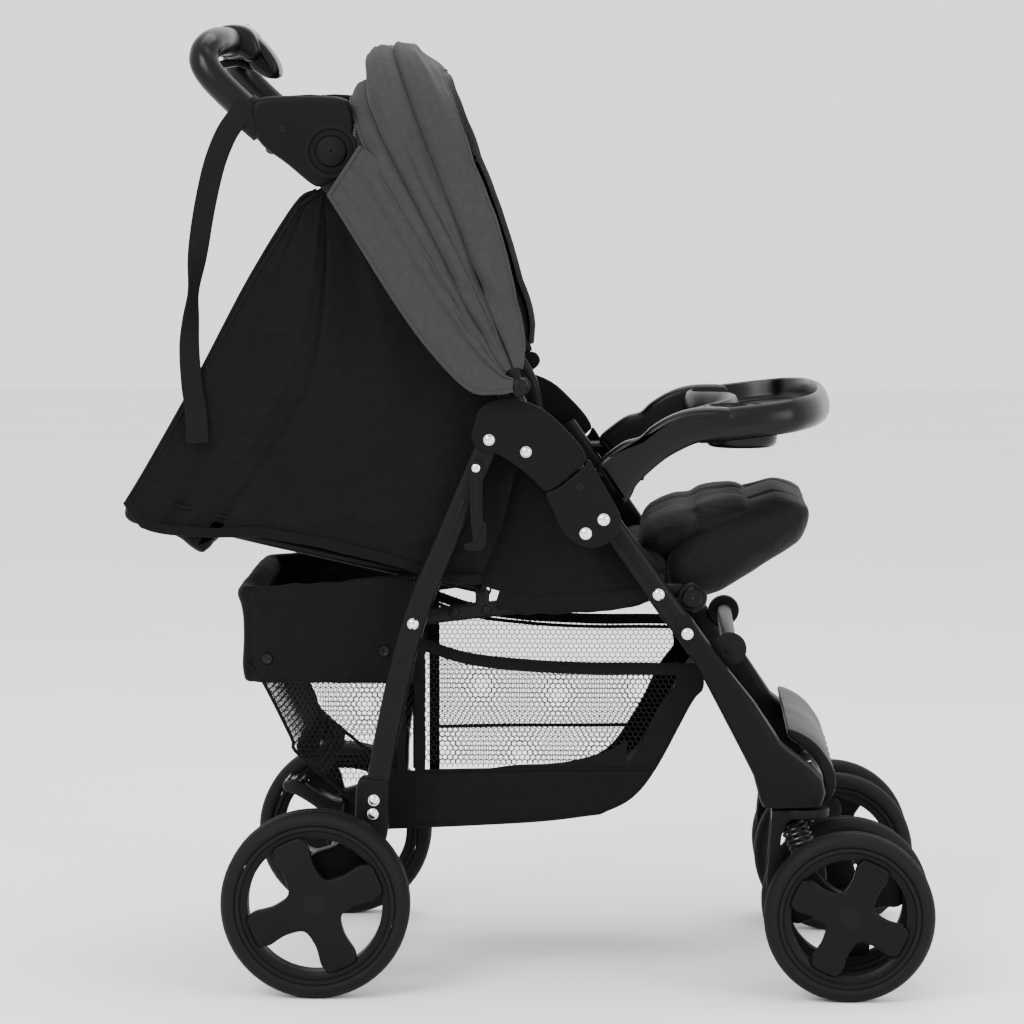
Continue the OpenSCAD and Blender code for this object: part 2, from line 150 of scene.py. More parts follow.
def cloth(name, base, rough=0.85, pitch=1.5, bump=0.35, sheen=0.25, slub=0.25):
    """Plain weave: two thread directions as bands, slubs, and soft crumple."""
    m, nt, b = new_mat(name)
    tc = node(nt, "ShaderNodeTexCoord")
    k = 1000 / pitch / TAU * 0.5
    wz = waves(nt, "Z", k, tc.outputs["Object"])
    wx = waves(nt, "DIAGONAL", k, tc.outputs["Object"])
    mul = node(nt, "ShaderNodeMath", operation="MAXIMUM")
    nt.links.new(wz.outputs["Fac"], mul.inputs[0])
    nt.links.new(wx.outputs["Fac"], mul.inputs[1])
    slubs = noise_tex(nt, 140, 5, 0.7)
    crumple = noise_tex(nt, 22, 4, 0.55)
    c = ramp(nt, slubs.outputs["Fac"], [(0.3, grey(base * (1 - slub), 0.02)),
        (0.7, grey(base * (1 + slub), 0.02))])
    nt.links.new(c.outputs["Color"], b.inputs["Base Color"])
    b.inputs["Roughness"].default_value = rough
    b.inputs["Sheen Weight"].default_value = sheen
    b.inputs["Sheen Roughness"].default_value = 0.45
    b.inputs["Specular IOR Level"].default_value = 0.1
    fine = node(nt, "ShaderNodeBump", Strength=bump, Distance=0.0005)
    nt.links.new(mul.outputs[0], fine.inputs["Height"])
    soft = node(nt, "ShaderNodeBump", Strength=0.35, Distance=0.004)
    nt.links.new(crumple.outputs["Fac"], soft.inputs["Height"])
    nt.links.new(soft.outputs["Normal"], fine.inputs["Normal"])
    nt.links.new(fine.outputs["Normal"], b.inputs["Normal"])
    return m


MATS = {
    "tube": metal("black_powder_coat", 0.0035, 0.36, 0.0, 500),
    "plastic": plastic("black_moulded_plastic", 0.0038, 0.42, shine=0.08),
    "shell": plastic("dark_grained_plastic", 0.004, 0.46, 700, 0.2, shine=0.06),
    "gloss": plastic("satin_plastic", 0.003, 0.28, 1100, 0.06, 1.6, 0.15),
    "tyre": plastic("foam_tyre", 0.0055, 0.6, 420, 0.3, 1.3, 0.08),
    "chrome": metal("chrome_rivet", 0.82, 0.16),
    "silver": metal("satin_insert", 0.45, 0.3),
    "wire": metal("spring_wire", 0.04, 0.3),
    "cloth": cloth("black_weave", 0.0028, sheen=0.03),
    "pad": cloth("black_quilt", 0.0034, 0.7, 1.3, 0.3, 0.04),
    "grey": cloth("grey_weave", 0.026, 0.85, 1.5, 0.3, 0.05, 0.10),
    "binding": cloth("black_binding", 0.002, 0.8, 2.2, 0.5, 0.02),
    "webbing": cloth("black_webbing", 0.003, 0.7, 2.6, 0.7, 0.03),
    "net": cloth("net_thread", 0.006, 0.7, 1.0, 0.2, 0.02),
}


# ---------------------------------------------------------------- shape tools (millimetres in)

def spline(pts, n=6, closed=False):
    """Catmull-Rom curve through points of any dimension."""
    p = [Vector(q) for q in pts]
    count = len(p)
    out = []
    spans = count if closed else count - 1
    for i in range(spans):
        a, b = p[i], p[(i + 1) % count]
        z = p[i - 1] if (closed or i) else a * 2 - b
        c = p[(i + 2) % count] if (closed or i + 2 < count) else b * 2 - a
        for k in range(n):
            t = k / n
            out.append(0.5 * ((2 * a) + (b - z) * t + (2 * z - 5 * a + 4 * b - c) * t * t
                              + (3 * a - z - 3 * b + c) * t ** 3))
    if not closed:
        out.append(p[-1])
    return out


def inset(poly, d):
    """A closed outline drawn in by d, for small d."""
    n = len(poly)
    area = sum(poly[i][0] * poly[(i + 1) % n][1] - poly[(i + 1) % n][0] * poly[i][1] for i in range(n))
    s = 1 if area > 0 else -1
    out = []
    for i in range(n):
        a, b, c = Vector(poly[i - 1][:2]), Vector(poly[i][:2]), Vector(poly[(i + 1) % n][:2])
        e1, e2 = (b - a), (c - b)
        if e1.length < 1e-6 or e2.length < 1e-6:
            out.append(b.copy())
            continue
        e1.normalize()
        e2.normalize()
        n1, n2 = Vector((-e1.y, e1.x)) * s, Vector((-e2.y, e2.x)) * s
        m = n1 + n2
        if m.length < 1e-6:
            m = n1.copy()
        m.normalize()
        out.append(b + m * d / max(0.5, m.dot(n1)))
    return out


def rings(loops, closed_caps=True, loop=False):
    """Faces over equal loops of points; ends capped unless the rings close on themselves."""
    verts = [v for l in loops for v in l]
    n = len(loops[0])
    faces = []
    last = len(loops) if loop else len(loops) - 1
    for i in range(last):
        j = (i + 1) % len(loops)
        for k in range(n):
            k2 = (k + 1) % n
            faces.append((i * n + k, i * n + k2, j * n + k2, j * n + k))
    if closed_caps and not loop:
        faces.append(tuple(range(n))[::-1])
        faces.append(tuple(range((len(loops) - 1) * n, len(loops) * n)))
    return verts, faces


def slab(poly, y0, y1, r=2.0, seg=3):
    """Side-view outline (x, z) between two widths, with rounded rims."""
    loops = []
    for k in range(seg + 1):
        a = k / seg * math.pi / 2
        q = inset(poly, r * (1 - math.sin(a)))
        loops.append([(p[0], y0 + r * (1 - math.cos(a)), p[1]) for p in q])
    for k in range(seg, -1, -1):
        a = k / seg * math.pi / 2
        q = inset(poly, r * (1 - math.sin(a)))
        loops.append([(p[0], y1 - r * (1 - math.cos(a)), p[1]) for p in q])
    return rings(loops)


def plate(pts, y0, y1, r=2.0, seg=3):
    """A slab whose outline runs smoothly through the points."""
    return slab(spline(pts, 4, True), y0, y1, r, seg)


def deck(poly, z0, z1, r=2.0, seg=3):
    """Plan outline (x, y) between two heights, with rounded rims."""
    v, f = slab(poly, z0, z1, r, seg)
    return [(p[0], p[2], p[1]) for p in v], f


def tube(path, ru, rv=None, seg=18, expo=2.0, up=(0, 1, 0), cap=True, closed=False):
    """Tube with a superellipse section: ru across the path, rv along up."""
    rv = rv or ru
    p = [Vector(q) for q in path]
    up = Vector(up)
    n = len(p)
    loops = []
    for i in range(n):
        a = p[i - 1] if (closed or i) else p[i]
        b = p[(i + 1) % n] if (closed or i < n - 1) else p[i]
        t = (b - a).normalized()
        side = t.cross(up)
        if side.length < 1e-4:
            side = t.cross(Vector((1, 0, 0)))
        side.normalize()
        top = side.cross(t).normalized()
        su = ru[i] if isinstance(ru, (list, tuple)) else ru
        sv = rv[i] if isinstance(rv, (list, tuple)) else rv
        loops.append([p[i] + side * su * sg(math.cos(TAU * k / seg), expo)
                      + top * sv * sg(math.sin(TAU * k / seg), expo) for k in range(seg)])
    if cap and not closed:
        for end, nxt in ((0, 1), (-1, -2)):
            c = p[end]
            out = (p[end] - p[nxt]).normalized()
            small = [c + (q - c) * 0.72 + out * 1.2 for q in loops[end]]
            loops = [small] + loops if end == 0 else loops + [small]
    return rings(loops, cap, closed)


def sg(c, expo):
    return math.copysign(abs(c) ** (2 / expo), c)


def along(pts, t):
    """Point and direction at share t of a polyline's length."""
    p = [Vector(q) for q in pts]
    lens = [(b - a).length for a, b in zip(p, p[1:])]
    d = t * sum(lens)
    for i, step in enumerate(lens):
        if d <= step or i == len(lens) - 1:
            return p[i] + (p[i + 1] - p[i]) * (d / step), (p[i + 1] - p[i]).normalized()
        d -= step


def lathe(center, profile, seg=72, start=0.0):
    """Closed profile of (y, radius) turned about the Y axis through center (x, z)."""
    loops = []
    for k in range(seg):
        a = TAU * k / seg + start
        loops.append([(center[0] + r * math.cos(a), y, center[1] + r * math.sin(a)) for y, r in profile])
    return rings(loops, False, True)


def dome(center, y, r, h=2.2, out=-1):
    """Rivet head standing out of a face at y."""
    prof = [(0, 1.0), (0.35, 0.98), (0.7, 0.8), (0.92, 0.5), (1.0, 0.15)]
    loops = [[(center[0] + r * k * math.cos(TAU * i / 20), y + out * h * t,
               center[1] + r * k * math.sin(TAU * i / 20)) for i in range(20)] for t, k in prof]
    return rings(loops)


def grid(fn, nu, nv, thick=1.2):
    """Cloth sheet: fn(u, v) gives a point; closed with the given thickness."""
    pts = [[Vector(fn(i / nu, j / nv)) for i in range(nu + 1)] for j in range(nv + 1)]
    front, back = [], []
    for j in range(nv + 1):
        for i in range(nu + 1):
            du = pts[j][min(i + 1, nu)] - pts[j][max(i - 1, 0)]
            dv = pts[min(j + 1, nv)][i] - pts[max(j - 1, 0)][i]
            nrm = du.cross(dv)
            nrm = nrm.normalized() if nrm.length > 1e-9 else Vector((0, 0, 1))
            front.append(pts[j][i] + nrm * thick / 2)
            back.append(pts[j][i] - nrm * thick / 2)
    w = nu + 1
    off = len(front)
    faces = []
    for j in range(nv):
        for i in range(nu):
            a, b, c, d = j * w + i, j * w + i + 1, (j + 1) * w + i + 1, (j + 1) * w + i
            faces.append((a, b, c, d))
            faces.append((off + d, off + c, off + b, off + a))
    rim = list(range(w)) + [j * w + nu for j in range(1, nv + 1)] \
        + [nv * w + i for i in range(nu - 1, -1, -1)] + [j * w for j in range(nv - 1, 0, -1)]
    for a, b in zip(rim, rim[1:] + rim[:1]):
        faces.append((b, a, off + a, off + b))
    return front + back, faces


def mirrored(part):
    v, f = part
    return [(p[0], -p[1], p[2]) for p in v], [tuple(reversed(q)) for q in f]


def sided(part, side):
    """Parts are drawn on the left (+Y); side -1 gives the right-hand one."""
    return part if side > 0 else mirrored(part)


def both(part):
    return [part, mirrored(part)]


def moved(part, fn):
    v, f = part
    return [fn(Vector(p)) for p in v], f


def put(name, data):
    ob = bpy.data.objects.new(name, data)
    bpy.context.scene.collection.objects.link(ob)
    return ob


def piece(name, parts, mat, body=None, nodes=(), angle=40, fix=True):
    """One mesh object out of several parts, smoothed, with its material, riding its body."""
    if isinstance(parts, tuple):
        parts = [parts]
    verts, faces = [], []
    for v, f in parts:
        o = len(verts)
        verts += [Vector(p) * MM for p in v]
        faces += [tuple(o + i for i in q) for q in f]
    me = bpy.data.meshes.new(name)
    me.from_pydata(verts, [], faces)
    if fix:
        bm = bmesh.new()
        bm.from_mesh(me)
        bmesh.ops.remove_doubles(bm, verts=bm.verts, dist=1e-6)
        bmesh.ops.recalc_face_normals(bm, faces=bm.faces)
        bm.to_mesh(me)
        bm.free()
    me.polygons.foreach_set("use_smooth", [True] * len(me.polygons))
    me.set_sharp_from_angle(angle=math.radians(angle))
    me.materials.append(MATS[mat])
    ob = put(name, me)
    if body:
        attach(ob, body)
    if nodes:
        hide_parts(*nodes)
    return ob


def fresh(ob):
    """Swaps an object's mesh for its evaluated one, so no modifier is left."""
    bpy.context.view_layer.update()
    dg = bpy.context.evaluated_depsgraph_get()
    me = bpy.data.meshes.new_from_object(ob.evaluated_get(dg))
    ob.modifiers.clear()
    ob.data = me
    me.polygons.foreach_set("use_smooth", [True] * len(me.polygons))


def puff(ob, voxel=5.0, cap=8.0, pressure=4.0, frames=20):
    """Stuffs a pad: remeshed, blown up by a short cloth run, its travel capped."""
    scene = bpy.context.scene
    rm = ob.modifiers.new("remesh", "REMESH")
    rm.mode = "VOXEL"
    rm.voxel_size = voxel * MM
    fresh(ob)
    rest = [v.co.copy() for v in ob.data.vertices]
    cl = ob.modifiers.new("cloth", "CLOTH")
    st = cl.settings
    st.quality = 6
    st.mass = 0.2
    st.tension_stiffness = 20
    st.compression_stiffness = 12
    st.bending_stiffness = 0.8
    st.use_pressure = True
    st.uniform_pressure_force = pressure
    st.effector_weights.gravity = 0
    cl.point_cache.frame_start = 1
    cl.point_cache.frame_end = frames
    for f in range(1, frames + 1):
        scene.frame_set(f)
    fresh(ob)
    limit = cap * MM
    for v, r in zip(ob.data.vertices, rest):
        d = v.co - r
        if d.length > limit:
            v.co = r + d.normalized() * limit
    sub = ob.modifiers.new("sub", "SUBSURF")
    sub.levels = sub.render_levels = 1
    fresh(ob)
    scene.frame_set(1)


def wob(p, scale, amp, seed=0.0):
    """Smooth, repeatable crumple."""
    q = Vector(p) * scale + Vector((seed, seed * 1.7, -seed))
    return noise.noise(q) * amp


def keep(name, mat, bevel, seg=2):
    """A CAD node kept as it is, with its rims rounded and a finish."""
    ob = NODES[name]
    ob.data.materials.clear()
    ob.data.materials.append(MATS[mat])
    b = ob.modifiers.new("rim", "BEVEL")
    b.width = bevel * MM
    b.segments = seg
    b.limit_method = "ANGLE"
    b.angle_limit = math.radians(35)
    b.harden_normals = True
    return ob


# ---------------------------------------------------------------- wheels

def tyre_part(r, w, inner, y):
    h = w / 2
    prof = [(-h + 4, inner), (-h + 1, inner + 2), (-h, inner + 5), (-h + 0.6, r - 7), (-h + 3.5, r - 3),
        (-h + 8, r - 0.8), (-h + 10, r), (-h * 0.2, r), (-h * 0.14, r - 0.8), (h * 0.14, r - 0.8),
        (h * 0.2, r), (h - 10, r), (h - 8, r - 0.8), (h - 3.5, r - 3), (h - 0.6, r - 7), (h, inner + 5),
        (h - 1, inner + 2), (h - 4, inner)]
    return [(y + a, q) for a, q in prof]


def lobes(r, w, hub, start):
    """Four wide rounded spokes with filleted roots, as a closed outline."""
    pts = []
    for k in range(4):
        a = math.radians(start + 90 * k)
        c, s = math.cos(a), math.sin(a)
        for u, v in ((hub * 1.62, -w * 0.46), (hub * 2.1, -w * 0.48), (r * 0.82, -w * 0.53),
                (r * 0.93, -w * 0.48), (r, -w * 0.34), (r, w * 0.34), (r * 0.93, w * 0.48),
                (r * 0.82, w * 0.53), (hub * 2.1, w * 0.48), (hub * 1.62, w * 0.46)):
            pts.append((u * c - v * s, u * s + v * c))
        d = math.radians(start + 90 * k + 45)
        pts.append((hub * 1.3 * math.cos(d), hub * 1.3 * math.sin(d)))
    return spline(pts, 4, True)


def wheel(name, side, face, y, centre, r, w, ring, start, body):
    """A foam tyre and a rim with four lobes, on its own axle; face is the side that shows."""
    cx, cz = centre
    f = face * side
    y *= side
    half = w / 2
    piece(name[0], [lathe(centre, tyre_part(r, w, ring, y))], "tyre", body, [name[1]])
    h = half - 3
    step = [(-h, ring - 0.2), (-h, ring - 4), (-h + 2, ring - 5.5), (-h + 2.4, ring - 9),
        (-h + 5, ring - 12.5), (h - 5, ring - 12.5), (h - 2.4, ring - 9), (h - 2, ring - 5.5),
        (h, ring - 4), (h, ring - 0.2)]
    inner = ring - 11
    spokes = [(cx + p[0], cz + p[1]) for p in lobes(inner, 35 if r > 90 else 32, 22 if r > 90 else 19.5,
        start)]
    y0, y1 = sorted((y + f * (half - 15), y + f * (half - 3)))
    hub = [(-half + 1, 5.3), (-half + 1, 12), (-half + 3, 14), (half - 8, 15), (half - 8, 5.3)]
    cap = [(half - 8, 0.3), (half - 8, 13), (half - 3.2, 12), (half - 2.4, 9), (half - 2.2, 0.3)]
    parts = [lathe(centre, [(y + a, q) for a, q in step]), slab(spokes, y0, y1, 2.2, 3),
        lathe(centre, [(y + f * a, q) for a, q in hub], 40), lathe(centre, [(y + f * a, q) for a, q in cap],
        40)]
    piece(name[2], parts, "plastic", body, [name[3]], 34)


for side, tag in ((RIGHT, "right"), (LEFT, "left")):
    wheel((f"Rear_tyre_{tag}", f"rear_tyre_{tag}", f"Rear_rim_{tag}", f"rear_rim_{tag}"), side, 1, 235,
          (-209, 95), 95, 38, 80, 24, f"rear_wheel_{tag}")
    for where, y, face in (("out", 243, 1), ("in", 147, -1)):
        wheel((f"Front_tyre_{tag}_{where}", f"front_tyre_{tag}_{where}", f"Front_rim_{tag}_{where}",
               f"front_rim_{tag}_{where}"), side, face, y, (325, 85.5), 85.5, 32, 71,
              64 if where == "out" else 10, f"front_wheel_{tag}_{where}")


# ---------------------------------------------------------------- casters

def coil(a, b, r, wire, turns):
    a, b = Vector(a), Vector(b)
    d = b - a
    t = d.normalized()
    x = t.cross(Vector((0, 1, 0))).normalized()
    y = t.cross(x)
    n = turns * 18
    pts = []
    for i in range(n + 1):
        s = i / n
        k = s if 0.06 < s < 0.94 else (0.03 + s * 0.5 if s <= 0.06 else 0.97 - (1 - s) * 0.5)
        ang = TAU * turns * s
        pts.append(a + d * k + x * r * math.cos(ang) + y * r * math.sin(ang))
    return tube(pts, wire, seg=8, up=(0.3, 1, 0.2))


for side, tag in ((RIGHT, "right"), (LEFT, "left")):
    y = 195
    cup = [(178, 8), (178.5, 24), (180, 25.6), (186, 26), (188, 25), (188.4, 8)]
    head = [moved(lathe((280, 0), cup, 48), lambda p: Vector((p.x, y + p.z, p.y)))]
    cheek = spline([(250, 187), (268, 187), (292, 186), (291, 181), (268, 178), (259, 166), (257, 148),
        (261, 124), (263, 112), (259, 105), (252, 103), (245, 106), (243, 114), (245, 140), (247, 168)], 3,
        True)
    head += [slab(cheek, 174, 180, 1.4), slab(cheek, 210, 216, 1.4),
             slab([(248, 187), (262, 187), (262, 178), (256, 174), (248, 174)], 180, 210, 1)]
    piece(f"Caster_head_{tag}", [sided(p, side) for p in head], "shell", f"caster_{tag}",
          [f"caster_head_{tag}"])
    arm_line = spline([(247, 112), (250, 122), (262, 124), (274, 133), (288, 134), (294, 124), (306, 110),
        (326, 97), (337, 88), (334, 75), (322, 73), (300, 84), (276, 98), (254, 104)], 4, True)
    arm = [slab(arm_line, 181, 209, 3.5), tube([(254, 172, 114), (254, 218, 114)], 4, seg=20),
        tube([(325, 209, 85.5), (325, 249, 85.5)], 4, seg=20), tube([(325, 141, 85.5), (325, 181, 85.5)], 4,
        seg=20), slab([(274, 136), (280, 140), (292, 133), (286, 128)], 186, 204, 1)]
    piece(f"Swing_arm_{tag}", [sided(p, side) for p in arm], "plastic", f"caster_arm_{tag}",
          [f"caster_arm_{tag}"])
    spring = [coil((267, y, 176), (284, y, 138), 12.5, 1.7, 8),
              tube([(268, y, 172), (281, y, 146)], 5.5, seg=16)]
    sp = piece(f"Coil_spring_{tag}", [sided(p, side) for p in spring], "wire", None,
               [f"caster_spring_{tag}"])
    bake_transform(sp)

# ---------------------------------------------------------------- front frame

LEG = spline([(34, 545), (134, 402), (163, 363), (203, 306)], 6)
parts = both(tube([(p[0], 179, p[1]) for p in LEG], 12, 9, 24, 3.4))
groove = spline([(60, 499), (134, 394), (150, 372)], 4)
parts += both(tube([(p[0] + 3, 188.2, p[1] + 2) for p in groove], 1.4, 0.8, 8))
piece("Front_leg_tubes", parts, "tube", "frame", ["front_leg_tubes"])

SHELL = [((152, 380), (165, 382), 188.4, 189.4), ((150, 366), (171, 371), 187, 192),
    ((158, 352), (181, 357), 184, 194.5), ((173, 329), (204, 327), 180, 198),
    ((189, 299), (230, 295), 176, 205), ((208, 263), (258, 253), 172, 213),
    ((222, 236), (275, 240), 169, 218), ((229, 222), (288, 230), 168, 220),
    ((233, 207), (299, 218), 168, 221), ((236, 196), (302, 204), 168, 221),
    ((239, 190.5), (298, 192), 169, 220), ((246, 189), (292, 189.5), 173, 216)]


def shell_ring(a, b, y0, y1):
    """Rounded section of a leg shell, from rear edge a to front edge b and from width y0 to y1."""
    ring = []
    a, b = Vector((a[0], a[1])), Vector((b[0], b[1]))
    wide, deep = (b - a).length / 2, (y1 - y0) / 2
    mid, ym = (a + b) / 2, (y0 + y1) / 2
    d = (b - a).normalized()
    for k in range(32):
        t = TAU * k / 32
        u = sg(math.cos(t), 5) * wide
        w = sg(math.sin(t), 5) * deep
        q = mid + d * u
        ring.append((q.x, ym + w, q.y))
    return ring


dense = []
for i in range(len(SHELL) - 1):
    (a0, b0, p0, q0), (a1, b1, p1, q1) = SHELL[i], SHELL[i + 1]
    for k in range(4):
        t = k / 4
        dense.append((Vector(a0).lerp(Vector(a1), t), Vector(b0).lerp(Vector(b1), t), p0 + (p1 - p0) * t,
                      q0 + (q1 - q0) * t))
dense.append(SHELL[-1])
piece("Front_leg_shells", both(rings([shell_ring(*s) for s in dense])), "shell", "frame",
    ["front_leg_shells"], 45)

bar = [(206, y, 345) for y in range(-170, 171, 20)]
piece("Front_cross_tube",
    [tube(bar, 8, seg=24)] + both(lathe((206, 345), [(166, 6), (166, 16), (170, 17), (171, 14), (171, 6)],
    32)), "tube", "frame", ["front_cross_tube"])

toe = spline([(266, 263), (280, 258), (293, 249), (303, 237), (311, 223), (314, 209), (311, 196),
    (304, 190), (298, 195), (301, 209), (298, 222), (290, 234), (278, 246), (266, 255)], 4, True)
rest_parts = [slab(toe, -168, 168, 2)]
for k in range(-3, 4):
    rest_parts.append(slab([(298, 241), (306, 231), (315, 213), (312, 209), (303, 226), (295, 238)],
        k * 40 - 3, k * 40 + 3, 1))
piece("Footrest", rest_parts, "plastic", "frame", ["footrest"])

# side covers: two moulded halves that meet at a curved seam
UPPER = spline([(-53, 560), (-51, 575), (-44, 591), (-27, 601), (-5, 599.5), (20, 589), (42, 569),
    (56, 553), (62, 541), (58, 535), (47, 525), (32, 513), (20, 508.5), (6, 522), (-13, 536.5), (-28, 545),
    (-44, 549)], 5, True)
LOWER = spline([(64, 540), (74, 524), (86, 503), (96, 482), (93, 466), (83, 456), (67, 451), (50, 456),
    (37, 469), (28, 489), (21, 505), (33, 511.5), (48, 523), (59, 533)], 5, True)
cover = both(slab(UPPER, 211, 215.4, 1.9, 4)) + both(slab(LOWER, 211, 215.8, 2, 4))
cover += both(plate([(47, 470), (50, 456), (64, 451), (80, 460), (94, 472), (92, 486), (78, 494),
    (62, 484)], 188.1, 211.5, 2))
cover += both(lathe((55, 513), [(215, 0.5), (215, 4.6), (216.3, 4.2), (216.4, 0.5)], 24))
piece("Side_covers", cover, "shell", "frame", ["side_brackets"])


def rivets(name, spots, body, nodes=()):
    parts = []
    for x, z, y, r in spots:
        parts += both(dome((x, z), y, r, 2.4, 1))
        parts += both(lathe((x, z), [(y - 0.6, r * 0.3), (y - 0.6, r * 1.18), (y + 0.3, r * 1.12),
            (y + 0.4, r * 0.3)], 28))
    piece(name, parts, "chrome", body, nodes)


rivets("Fold_pins", [(1.4, 547.5, 215.2, 5), (-35.5, 559.4, 215.2, 5), (61, 466, 215.6, 5.4),
    (79, 480, 215.6, 5.4), (134, 402, 188.2, 5.2), (163, 363, 194.5, 5.2)], "frame", ["bracket_pins"])

rails = [tube([(p[0], 158, p[1]) for p in spline([(-112, 374), (-40, 383), (134, 402), (168, 397)], 6)], 8,
    7.8, 20, 3)]
rails += [tube([(-44, 163, 384), (-44, 163, 403)], 7, 3, 16, 3), tube([(-44, 142, 403), (-44, 164, 403)], 4,
    seg=16), tube([(168, 130, 397), (168, 152, 397)], 5, seg=16), tube([(50, 180, 522), (118, 180, 522)], 6,
    seg=20), lathe((168, 397), [(165, 5), (165, 15), (169, 15.2), (171, 13.8), (171.2, 11), (173, 10.6),
    (175, 9.2), (175.4, 1)], 40)]
rails += [dome((-73, 380), 166, 5, 2.4, 1), dome((-40, 383), 166, 5, 2.4, 1)]
piece("Seat_rails", sum([both(p) for p in rails], []), "tube", "frame", ["seat_rails"])

# ---------------------------------------------------------------- rear frame

REAR = spline([(-35.5, 559.4), (-75, 466), (-112, 374), (-138, 265), (-154, 172)], 6)
parts = both(tube([(p[0], 201, p[1]) for p in REAR], 12, 9, 24, 3.4))
parts += both(tube([(p[0] + 1, 210.2, p[1]) for p in REAR[4:-3]], 2.2, 0.7, 8))
piece("Rear_leg_tubes", parts, "tube", "rear_frame", ["rear_leg_tubes"])
axle = [tube([(-209, y, 95) for y in range(-186, 187, 12)], 8, seg=24)]
axle += both(tube([(-209, 185, 95), (-209, 245, 95)], 5, seg=20))
piece("Rear_axle", axle, "tube", "rear_frame", ["rear_axle"])
house = spline([(-168, 214), (-150, 217), (-137, 212), (-137, 190), (-139, 158), (-152, 124), (-172, 94),
    (-190, 79), (-209, 74), (-225, 81), (-231, 96), (-229, 118), (-214, 140), (-190, 150), (-172, 172)], 4,
    True)
parts = both(slab(house, 186, 212.5, 4, 4)) + both(plate([(-162, 205), (-143, 205), (-145, 178),
    (-161, 178)], 212, 213.6, 0.8))
parts += both(tube([(-215, 150, 128), (-215, 187, 128)], 4, seg=18)) + both(tube([(-112, 167, 374),
    (-112, 192, 374)], 5, seg=16))
parts.append(mirrored(tube([(-48.5, 210, 531.4), (-48.5, 218, 531.4)], 3, seg=16)))
piece("Rear_wheel_housings", parts, "shell", "rear_frame", ["rear_housings"])
rivets("Rear_rivets", [(-112, 374, 210.4, 5), (-151.5, 196, 213.4, 5), (-152.6, 182, 213.4, 5)],
    "rear_frame")
piece("Latch_rivet", mirrored(dome((-48.5, 531.4), 217.6, 4.6, 2.2, 1)), "chrome", "rear_frame")
hook = spline([(-55.5, 531), (-52, 538), (-45, 538), (-41.5, 531), (-42, 500), (-41, 478), (-38.5, 477),
    (-38, 462), (-40, 452), (-46, 448.5), (-58, 449), (-60, 455), (-52, 459), (-54, 480)], 4, True)
piece("Storage_latch", [mirrored(slab(hook, 214.6, 217.5, 0.9)),
                        mirrored(slab([(-50, 522), (-46, 522), (-46, 482), (-50, 482)], 217.2, 218, 0.3))],
      "plastic", "storage_latch", ["storage_latch"])
for side, tag in ((RIGHT, "right"), (LEFT, "left")):
    pedal = spline([(-206, 126), (-207, 136), (-218, 138), (-236, 148), (-256, 160), (-270, 158),
        (-271, 149), (-258, 143), (-240, 132), (-224, 120), (-213, 118)], 4, True)
    ribs = [slab([(-268 + 8 * k, 160.5), (-265 + 8 * k, 162.5), (-262 + 8 * k, 159)], 154, 183,
        0.4) for k in range(3)]
    piece(f"Brake_pedal_{tag}", [sided(p, side) for p in [slab(pedal, 152, 185, 2.6)] + ribs], "gloss",
        f"brake_{tag}", [f"brake_pedal_{tag}"])

# ---------------------------------------------------------------- push handle

PUSH = spline([(1.4, 547.5), (-13, 600), (-60, 656), (-205, 830)], 6)
piece("Push_tubes", both(tube([(p[0], 200.7, p[1]) for p in PUSH], 12, 8.9, 24, 3.4)), "tube", "handle",
    ["push_tubes"])
grip = spline([(-216, 194, 840), (-250, 194, 862), (-284, 193, 892), (-312, 191, 920), (-321, 184, 938),
    (-317, 168, 950), (-311, 130, 955), (-310, 60, 956), (-310, 0, 956)], 7)
grip = grip + [Vector((p.x, -p.y, p.z)) for p in reversed(grip[:-1])]
piece("Handlebar", tube(grip, 14.5, 14.5, 28, 2.2, (0.2, 0.1, 1)), "gloss", "handle", ["handlebar"])

body_line = spline([(-331, 958), (-318, 971), (-298, 973), (-285, 966), (-277, 950), (-279, 938),
    (-290, 936), (-300, 942), (-316, 940), (-328, 945)], 4, True)
piece("Fold_release_housing",
    [slab(body_line, -42, 42, 6, 4),
    plate([(-288, 962), (-276, 956), (-262, 938), (-258, 924), (-264, 918), (-276, 921), (-290, 934)], -30,
    30, 6, 4)], "gloss", "handle", ["fold_housing"])
piece("Fold_release_slide",
    [slab(spline([(-312, 972.6), (-296, 974), (-286, 968.6), (-283, 962), (-288, 960), (-298, 967)], 3,
    True), -14, 12, 2, 3)] + [slab([(-306 + 6 * k, 974.6), (-303 + 6 * k, 974.8), (-303 + 6 * k, 972),
    (-306 + 6 * k, 972)], -10, 8, 0.3) for k in range(3)], "silver", "fold_slide", ["fold_slide"])
piece("Fold_release_trigger",
    plate([(-322, 936), (-300, 938), (-286, 930), (-288, 926), (-302, 931), (-320, 929)], -22, 22, 2, 3),
    "plastic", "fold_trigger", ["fold_trigger"])

# parent tray: moulded end blocks, a shelf, two cup holders and a centre tray
end = spline([(-270, 874), (-272, 887), (-267, 896), (-254, 900), (-215, 901), (-184, 899), (-174, 890),
    (-170, 872), (-171, 855), (-177, 833), (-188, 818), (-202, 811), (-213, 814), (-236, 833), (-262, 853)],
    5, True)
tray = both(slab(end, 176, 213.5, 6, 5))
tray += both(lathe((-192, 846), [(212, 4), (212, 26), (214, 27), (215.4, 25.4), (215.2, 22.5),
    (213.6, 21.4), (213.6, 16), (216, 14.4), (216.8, 11), (216.8, 1)], 48))
tray += both(lathe((-240, 868), [(213, 0.5), (213, 4.6), (214.4, 4), (214.6, 0.5)], 20))
tray += both(slab(spline([(-262, 897), (-215, 902), (-180, 897.5), (-182, 894), (-215, 897), (-260, 893)],
    3, True), 172, 209, 1.2))


